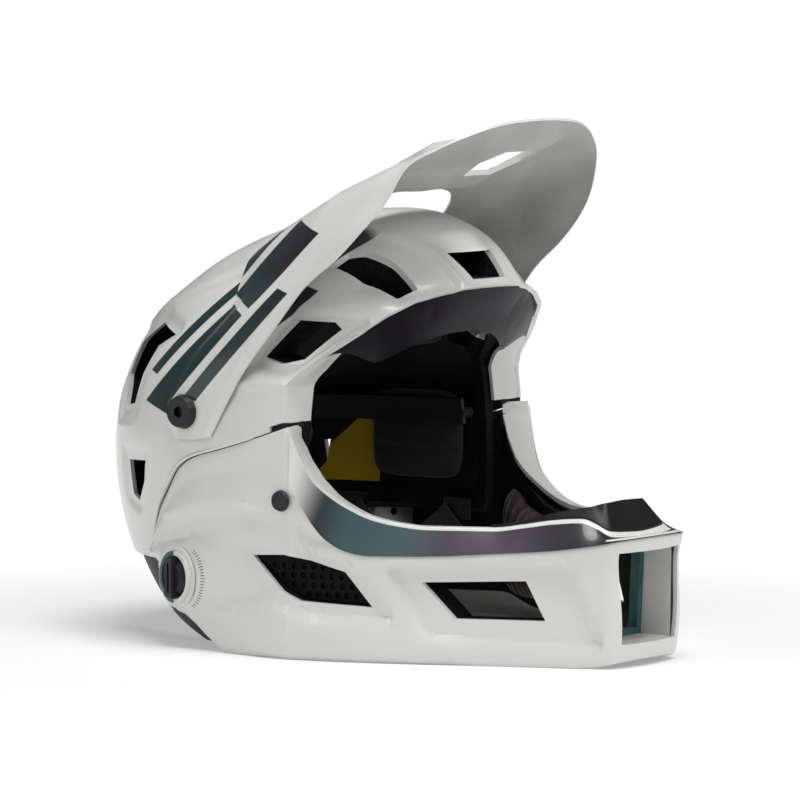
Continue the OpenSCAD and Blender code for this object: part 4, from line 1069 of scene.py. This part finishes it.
def make_visor():
    """Visor: straight lines across from the rear edge to the fold and on to the front edge,
    each edge a smooth curve from arm to arm. It is moved along its normals: sunk in a field
    round the hole and between the side folds, which are raised, and not at all at its edges."""
    rear, fold, front = (curve(np.concatenate([half[:0:-1] * (-1, 1, 1), half]), 9) for half in (
        np.array(row, float) for row in (VISOR_REAR, VISOR_FOLD, VISOR_FRONT)))
    t = np.linspace(0, 1, 27)[:, None, None]
    grid = np.concatenate([mix(rear, fold, t)[:-1], mix(fold, front, t)])
    x, y, ax = grid[..., 0], grid[..., 1], np.abs(grid[..., 0])
    sideways_out = np.stack([np.sign(x), 0 * x, 0 * x], -1)
    normal = unit(mix(-grid_normals(grid), sideways_out, ease((ax - 103) / 3)[..., None]))
    row = np.arange(len(grid))[:, None]
    inside = ease(np.minimum(row, len(grid) - 1 - row) / 9)
    field = [(-13, -92), (13, -92), (22, -112), (40, -138), (-40, -138), (-22, -112)]
    move = -2.0 * (ax < 60) * dish(field, x, y, 3.5)
    move -= 7.0 * (1 - ease((ax - 16) / 30)) * ease((y + 146) / 24) * ease((-50 - y) / 14)
    crease = line_distance([(40, -52), (56, -92), (62, -132)], ax, y)
    move += 2.6 * np.maximum(1 - crease / 8, 0) * (ax < 80) * ease((-y - 56) / 20) * ease((136 + y) / 10)
    grid = (grid + normal * (move * inside)[..., None])[::-1]
    top = grid + normal[::-1] * (1.3 + 1.3 * inside[..., None])
    visor = slab("visor_shell", top, grid, PAINTS["visor"], second=PAINTS["under"], sharp=28)
    hole = prism([(-18, -113), (-12, -126), (12, -126), (18, -113), (12, -97), (-12, -97)], 230, 310, "xy")
    carve(visor, [hole] + pivot_rods(SCREW_HOLE, 100))
    finish_piece(visor, "visor", "visor")


def make_bar():
    """Skin of the chin bar: its profile carried round the plan, less its vents, the window and
    the holes of the knobs and studs."""
    plan, f = bar_plan(-54)
    outer, inner = (bar_grid(plan, *skin_profile(f, depth)) for depth in (0.0, BAR_WALL))
    shift = bar_relief(outer)[..., None] * grid_normals(outer)
    bar = slab("chin_bar", outer + shift, inner + shift, PAINTS["plain"], sharp=30)
    sides = both_sides(prism(SIDE_VENT, 60, 130, "yz"), prism(FRONT_VENT, 20, 130, "yz"),
                       rod(KNOB_RADIUS + 1.7, -14, 16, knob_place()), rod(STUD_HOLE, 0, 50, sideways(*STUD)))
    carve(bar, sides + [window_cutter(0, -240, -190)])
    finish_piece(bar, "chin_bar", "chin_bar_skin")


def angled_vent():
    """Prism through the side vent, square to the side of the bar and not to the helmet."""
    turn, hinge = math.radians(15.2), (103, -27, 0)
    c, s = math.cos(turn), math.sin(turn)
    co, sets = prism([((y - hinge[1]) / c, z) for y, z in SIDE_VENT], -1.6, 30, "yz")
    return co @ [[c, -s, 0], [s, c, 0], [0, 0, 1]] + hinge, sets


def make_bar_foam():
    """Foam halves of the chin bar, as thick as the space to the arms' inside, or 17 mm and
    more at the chin. The outside follows the skin's inside and its relief."""
    plan, f = bar_plan(-45, 205)
    foot, ridge, rim, lean = table(f, BAR_FOOT), table(f, BAR_RIDGE), bar_rim(f), table(f, BAR_LEAN)
    thick = np.where(f < 60, table(f, BAR_WIDTH) - ARM_INSIDE,
                     table(f, [(60, 17), (180, 17), (204, 21), (216, 25)]))
    w, one = BAR_WALL, np.ones_like(f)
    rows_out = [(one * (w + 0.4), mix(foot, ridge, 0.2)), (one * (w - 0.5), mix(foot, ridge, 0.45)),
                (one * (w + 0.2), mix(foot, ridge, 0.8)), (one * (w - 1.2), ridge - 1),
                (lean + w + 0.8, rim - np.where(f > 195, 8, 6))]
    rows_in = [(thick - 2 if k == 0 else thick, row[1]) for k, row in enumerate(rows_out)]
    outer, inner = curve(rows_out, 5), curve(rows_in, 5)
    shift = bar_relief(bar_grid(plan, outer[:, 0], outer[:, 1]))
    left = slab("chin_foam", bar_grid(plan, outer[:, 0] - shift, outer[:, 1]),
                bar_grid(plan, inner[:, 0], inner[:, 1]), PAINTS["foam"])
    carve(left, [angled_vent(), prism(FRONT_VENT, 20, 130, "yz"), rod(KNOB_RADIUS + 2, -20, 10, knob_place()),
                 rod(STUD_HOLE, 19, 49, sideways(*STUD)), window_cutter(3.2, -240, -160)])
    mirror = left.modifiers.new("other side", "MIRROR")
    mirror.use_mirror_merge = False
    finish_piece(left, "chin_bar", "chin_bar_liner")


def make_band():
    """Coloured inlay round the bar: a curve through three lines just outside the skin, over
    the ridge, half way up and under the rim."""
    plan, f = bar_plan(SEAM_END)
    ridge, rim, lean = table(f, BAR_RIDGE), bar_rim(f), table(f, BAR_LEAN)

    def face(lift):
        rows = curve([(-2.2 - lift + 0 * f, ridge + 0.6), (lean / 2 - 0.6 - lift, mix(ridge, rim, 0.5)),
                      (lean - lift, rim - 1.8)], 8)
        return bar_grid(plan, rows[:, 0], rows[:, 1])
    band = slab("band_inlay", face(1.0), face(0.2), PAINTS["band"])
    finish_piece(band, "chin_bar", "chin_band")


def make_deck():
    """Cover on the rim before the mouth: straight across from the rim to its inner edge."""
    plan, f = bar_plan(150)
    rim, lean, jamb = bar_rim(f), table(f, BAR_LEAN), table(f, BAR_JAMB)
    t = np.linspace(0, 1, 14)[:, None]
    insets, heights = mix(lean + 2, jamb - 0.3, t), rim + table(f, BAR_RISE) * t
    deck = slab("rim_cover", bar_grid(plan, insets, heights + 1.4), bar_grid(plan, insets, heights + 0.5),
                PAINTS["deck"])
    finish_piece(deck, "chin_bar", "chin_deck")


def make_headband():
    """Band of the fit system, a strip of the dome behind the ears, and the pins at its ends."""
    th, ph = np.meshgrid(np.linspace(70, 290, 260), np.linspace(5, 13, 12))
    band = slab("fit_band", dome(th, ph, FOAM_DEPTH + 9.9), dome(th, ph, FOAM_DEPTH + 11.5), PAINTS["dark"])
    finish_piece(band, "helmet", "headband")
    tip = dome(71.5, 8.3, FOAM_DEPTH + 10.7) - (1, 0, 0)
    pins = both_sides(rod(3.2, 0, 9, sideways(*tip)))
    for name, pin in zip(("fit_pin_left", "fit_pin_right"), pins):
        finish_piece(build(name, *pin, PAINTS["dark"]), "helmet", "headband")


# Straps: where the side straps meet, the middles of their anchors, and the way of a chin strap
# from there to the buckle, as points and the directions of its width.
DIVIDER = np.array([63.6, 8, 32.0])
ANCHORS = {"front": np.array([73.48, -26, 66.0]), "rear": np.array([64.06, 42, 66.0])}
CHIN_STRAP = [
    ((61.7, 9, 36), (0, 1, 0.5)), ((61.6, 4.5, 28.5), (0, 1, 0.45)), ((60.4, -0.5, 22), (0, 1, 0.3)),
    ((56, -8, 15.8), (0, 1, 0.15)), ((47, -13.5, 13.8), (0, 1, 0.05)), ((38, -17.5, 13.6), (0, 1, 0)),
    ((31.5, -19.5, 14.4), (0, 1, 0)), ((27.5, -20, 14.8), (0, 1, 0)), ((24.6, -20, 14.5), (0, 1, 0)),
    ((23.5, -20, 13), (0, 1, 0)), ((23.5, -20, 9.5), (0, 1, 0))]


def make_strap(name, node, stops, mirror, sizes):
    """Flat strap along a curve through stops of (point, direction of its width), with
    slightly raised edges."""
    points, across = (curve([stop[k] for stop in stops], 12) for k in (0, 1))
    across = unit(across)
    normal = unit(np.cross(unit(np.gradient(points, axis=0)), across))
    w = np.linspace(-1, 1, 15)[:, None, None]
    flat = points[None] + across[None] * w * (sizes.strap_width / MM / 2)
    thick = sizes.strap_thickness / MM / 2 - 0.12 * (np.abs(w) < 0.8)
    faces = flat + normal[None] * thick, flat - normal[None] * thick
    if mirror:
        faces = [face * (-1, 1, 1) for face in faces[::-1]]
    finish_piece(slab(name, *faces, PAINTS["strap"], sharp=50), "helmet", node)


def side_stops(anchor):
    """Stops of a side strap: straight in the side view, and eased inwards to the divider."""
    start = anchor - (0.4, 0, 0)
    run = DIVIDER - start
    across = unit(np.cross([1.0, 0, 0], run))
    return [(start + run * (ease(t / 0.7), t, t), across) for t in np.arange(0.02, 0.87, 0.12)]


def make_straps(sizes):
    """Two side straps to each divider, and a chin strap from each divider to the buckle."""
    for mirror, side in ((False, "left"), (True, "right")):
        for place, anchor in ANCHORS.items():
            make_strap(f"side_strap_{side}_{place}", f"straps_{side}", side_stops(anchor), mirror, sizes)
    for mirror, side in ((False, "left"), (True, "right")):
        make_strap(f"chin_strap_{side}", "chin_straps", CHIN_STRAP, mirror, sizes)


def paint_nodes():
    """Gives each carried-over node its material."""
    for paint, nodes in NODE_PAINTS.items():
        for node in nodes:
            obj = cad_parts[node]
            obj.data.materials.clear()
            obj.data.materials.append(PAINTS[paint])


# ---------------------------------------------------------------- camera, lights and floor

# The camera stands to the side of the face and a little above it, in radians and metres. It
# looks at the middle of the head at AIM_Z millimetres, and shows PIXELS to the metre in a
# frame of FRAME pixels, moved by SHIFT pixels.
AZIMUTH, ELEVATION, DISTANCE = math.radians(-51.0), math.radians(5.6), 3.0
AIM_Z, FRAME, PIXELS, SHIFT, SENSOR = 100.0, 800.0, 1800.0, (63.0, 61.0), 36.0
LAMP_DISTANCE, FLOOR_HALF = 2.2, 8000.0


def placed(scene, name, data, axes, spot):
    """Puts an object at a point, with these directions as its x, y and z axes."""
    obj = bpy.data.objects.new(name, data)
    rows = [[float(axis[k]) for axis in axes] + [float(spot[k])] for k in range(3)]
    obj.matrix_world = Matrix(rows + [[0, 0, 0, 1]])
    scene.collection.objects.link(obj)
    return obj


def make_camera_and_lamps(scene):
    """Camera, and three round area lamps that face the point it looks at."""
    target = np.array([0, HEAD_Y, AIM_Z - STAND]) * MM
    level = math.cos(ELEVATION)
    back = np.array([math.sin(AZIMUTH) * level, -math.cos(AZIMUTH) * level, math.sin(ELEVATION)])
    right = np.array([math.cos(AZIMUTH), math.sin(AZIMUTH), 0])
    data = bpy.data.cameras.new("camera")
    data.sensor_width, data.lens = SENSOR, PIXELS * DISTANCE * SENSOR / FRAME
    data.shift_x, data.shift_y = SHIFT[0] / FRAME, SHIFT[1] / FRAME
    data.clip_end = 50.0
    axes = (right, np.cross(back, right), back)
    scene.camera = placed(scene, "camera", data, axes, target + back * DISTANCE)
    for name, direction, size, power in (
            ("top", np.array([-0.1, -0.25, 1.0]), 1.3, 40),
            ("key", back * 0.7 + right * 0.8 + (0, 0, 0.75), 0.9, 11),
            ("left", back * 0.6 - right * 0.9 + (0, 0, 0.6), 0.9, 7)):
        light = bpy.data.lights.new(name, "AREA")
        light.shape, light.size, light.energy = "DISK", size, power
        z = unit(direction)
        x = unit(np.cross([0, 0, 1.0], z))
        placed(scene, name, light, (x, np.cross(z, x), z), target + z * LAMP_DISTANCE)


def make_floor():
    """Pale floor that keeps the helmet's shadow and glows white further out."""
    g = Graph("floor", Roughness=0.9, Specular_IOR_Level=0.2)
    g.wire("Base Color", g.blend(g.noise(2.0, 2.0) * 0.04, (0.9, 0.9, 0.9), (0.86, 0.86, 0.86)))
    x, y, _ = g.axes()
    y = y + 30.0
    away = ((x * x + y * y) ** 0.5).ramp(190.0, 420.0)
    glow = g.node("ShaderNodeEmission", {}, {"Color": (1, 1, 1, 1), "Strength": 1.0}).outputs[0]
    shares = {0: g.seen() * (away * 0.7 + 0.3), 1: g.shader.outputs[0], 2: glow}
    g.tree.links.new(g.node("ShaderNodeMixShader", {}, shares).outputs[0], g.out.inputs[0])
    corners = np.array([(-1, -1, 0), (1, -1, 0), (1, 1, 0), (-1, 1, 0)]) * FLOOR_HALF
    floor = build("floor", corners - (0, HEAD_Y, -STAND), [np.array([[0, 1, 2, 3]])], g.material)


def make_world(scene):
    """Soft pale light all round, and plain white where the camera or glass sees it."""
    scene.world = bpy.data.worlds.new("studio")
    scene.world.use_nodes = True
    w = Nodes(scene.world.node_tree)
    soft, white = (w.node("ShaderNodeBackground", {}, {0: colour, 1: strength}).outputs[0]
                   for colour, strength in (((0.94, 0.96, 1.0, 1), 0.17), ((1, 1, 1, 1), 1.0)))
    path = w.node("ShaderNodeLightPath", {}, {}).outputs
    direct = Value(w, path["Is Camera Ray"]).most(Value(w, path["Is Transmission Ray"]))
    both = w.node("ShaderNodeMixShader", {}, {0: direct, 1: soft, 2: white}).outputs[0]
    w.node("ShaderNodeOutputWorld", {}, {0: both})


def make_stage(scene):
    """Camera, lamps, floor and world, and the plain view transform."""
    make_camera_and_lamps(scene)
    make_floor()
    make_world(scene)
    scene.view_settings.view_transform = "Standard"


# ---------------------------------------------------------------- add-on

def colour(name, description, default):
    """Colour that a user can set."""
    return bpy.props.FloatVectorProperty(
        name=name, description=description, subtype="COLOR", size=3, min=0, max=1, default=default)


def length(name, description, default):
    """Length in metres that a user can set, from half to twice its default."""
    return bpy.props.FloatProperty(
        name=name, description=description, subtype="DISTANCE", unit="LENGTH", precision=5,
        min=default / 2, max=default * 2, default=default)


class HelmetColours(bpy.types.PropertyGroup):
    """Colours of the helmet"""
    shell: colour("Shell", "Paint of the shell, visor and chin bar", (0.74, 0.74, 0.705))
    underside: colour("Visor underside", "Matte grey under the visor", (0.42, 0.42, 0.40))
    slip: colour("Slip liner", "Colour of the thin liner over the foam", (0.62, 0.40, 0.02))
    accent: colour("Accent", "Colour of the collars and the window frame", (0.05, 0.115, 0.12))


class HelmetSizes(bpy.types.PropertyGroup):
    """Sizes of the helmet's trim and straps"""
    lip_radius: length("Seam lip", "Radius of the rolled lip along the seam", 0.00085)
    strap_width: length("Strap width", "Width of the side and chin straps", 0.018)
    strap_thickness: length("Strap thickness", "Thickness of the straps at their edges", 0.0016)


class HELMET_OT_materials(bpy.types.Operator):
    """Make every paint, plastic and cloth, and paint the carried-over parts"""
    bl_idname = "helmet.materials"
    bl_label = "Materials"

    def execute(self, context):
        make_materials(context.scene.helmet_colours)
        paint_nodes()
        return {"FINISHED"}


class HELMET_OT_shell(bpy.types.Operator):
    """Add the outer shell with its vents and folds, and the rear lower edge"""
    bl_idname = "helmet.shell"
    bl_label = "Outer shell"

    def execute(self, context):
        make_shell()
        make_seam_lips(context.scene.helmet_sizes.lip_radius / MM)
        make_port_returns()
        make_skirt()
        return {"FINISHED"}


class HELMET_OT_liners(bpy.types.Operator):
    """Add the foam, the slip liner and the band under the brow"""
    bl_idname = "helmet.liners"
    bl_label = "Foam and liners"

    def execute(self, context):
        make_foam()
        make_slip()
        make_brow_band()
        return {"FINISHED"}


class HELMET_OT_visor(bpy.types.Operator):
    """Add the visor"""
    bl_idname = "helmet.visor"
    bl_label = "Visor"

    def execute(self, context):
        make_visor()
        return {"FINISHED"}


class HELMET_OT_chin_bar(bpy.types.Operator):
    """Add the chin bar with its foam, inlay and rim cover"""
    bl_idname = "helmet.chin_bar"
    bl_label = "Chin bar"

    def execute(self, context):
        make_bar()
        make_bar_foam()
        make_band()
        make_deck()
        return {"FINISHED"}


class HELMET_OT_cushions(bpy.types.Operator):
    """Add the head cushions and the cheek cushions"""
    bl_idname = "helmet.cushions"
    bl_label = "Cushions"

    def execute(self, context):
        make_head_cushions()
        make_cheek_cushions()
        return {"FINISHED"}


class HELMET_OT_straps(bpy.types.Operator):
    """Add the headband, the side straps and the chin straps"""
    bl_idname = "helmet.straps"
    bl_label = "Headband and straps"

    def execute(self, context):
        make_headband()
        make_straps(context.scene.helmet_sizes)
        return {"FINISHED"}


class HELMET_OT_stage(bpy.types.Operator):
    """Set the floor, the lights and the camera"""
    bl_idname = "helmet.stage"
    bl_label = "Stage"

    def execute(self, context):
        make_stage(context.scene)
        return {"FINISHED"}


class HELMET_PT_panel(bpy.types.Panel):
    """Buttons for every group of pieces"""
    bl_idname = "HELMET_PT_panel"
    bl_label = "Full Face Helmet"
    bl_space_type = "VIEW_3D"
    bl_region_type = "UI"
    bl_category = "Helmet"

    def draw(self, context):
        for name, group in GROUPS.items():
            for setting in group.__annotations__:
                self.layout.prop(getattr(context.scene, name), setting)
        for step in STEPS:
            self.layout.operator(step.bl_idname)


STEPS = (HELMET_OT_stage, HELMET_OT_materials, HELMET_OT_shell, HELMET_OT_liners, HELMET_OT_visor,
         HELMET_OT_chin_bar, HELMET_OT_cushions, HELMET_OT_straps)
GROUPS = {"helmet_colours": HelmetColours, "helmet_sizes": HelmetSizes}
CLASSES = (*GROUPS.values(), *STEPS, HELMET_PT_panel)


def register():
    for item in CLASSES:
        bpy.utils.register_class(item)
    for name, group in GROUPS.items():
        setattr(bpy.types.Scene, name, bpy.props.PointerProperty(type=group))


def unregister():
    for name in GROUPS:
        delattr(bpy.types.Scene, name)
    for item in reversed(CLASSES):
        bpy.utils.unregister_class(item)


def main():
    register()
    for step in STEPS:
        family, name = step.bl_idname.split(".")
        getattr(getattr(bpy.ops, family), name)()


if __name__ == "__main__":
    main()
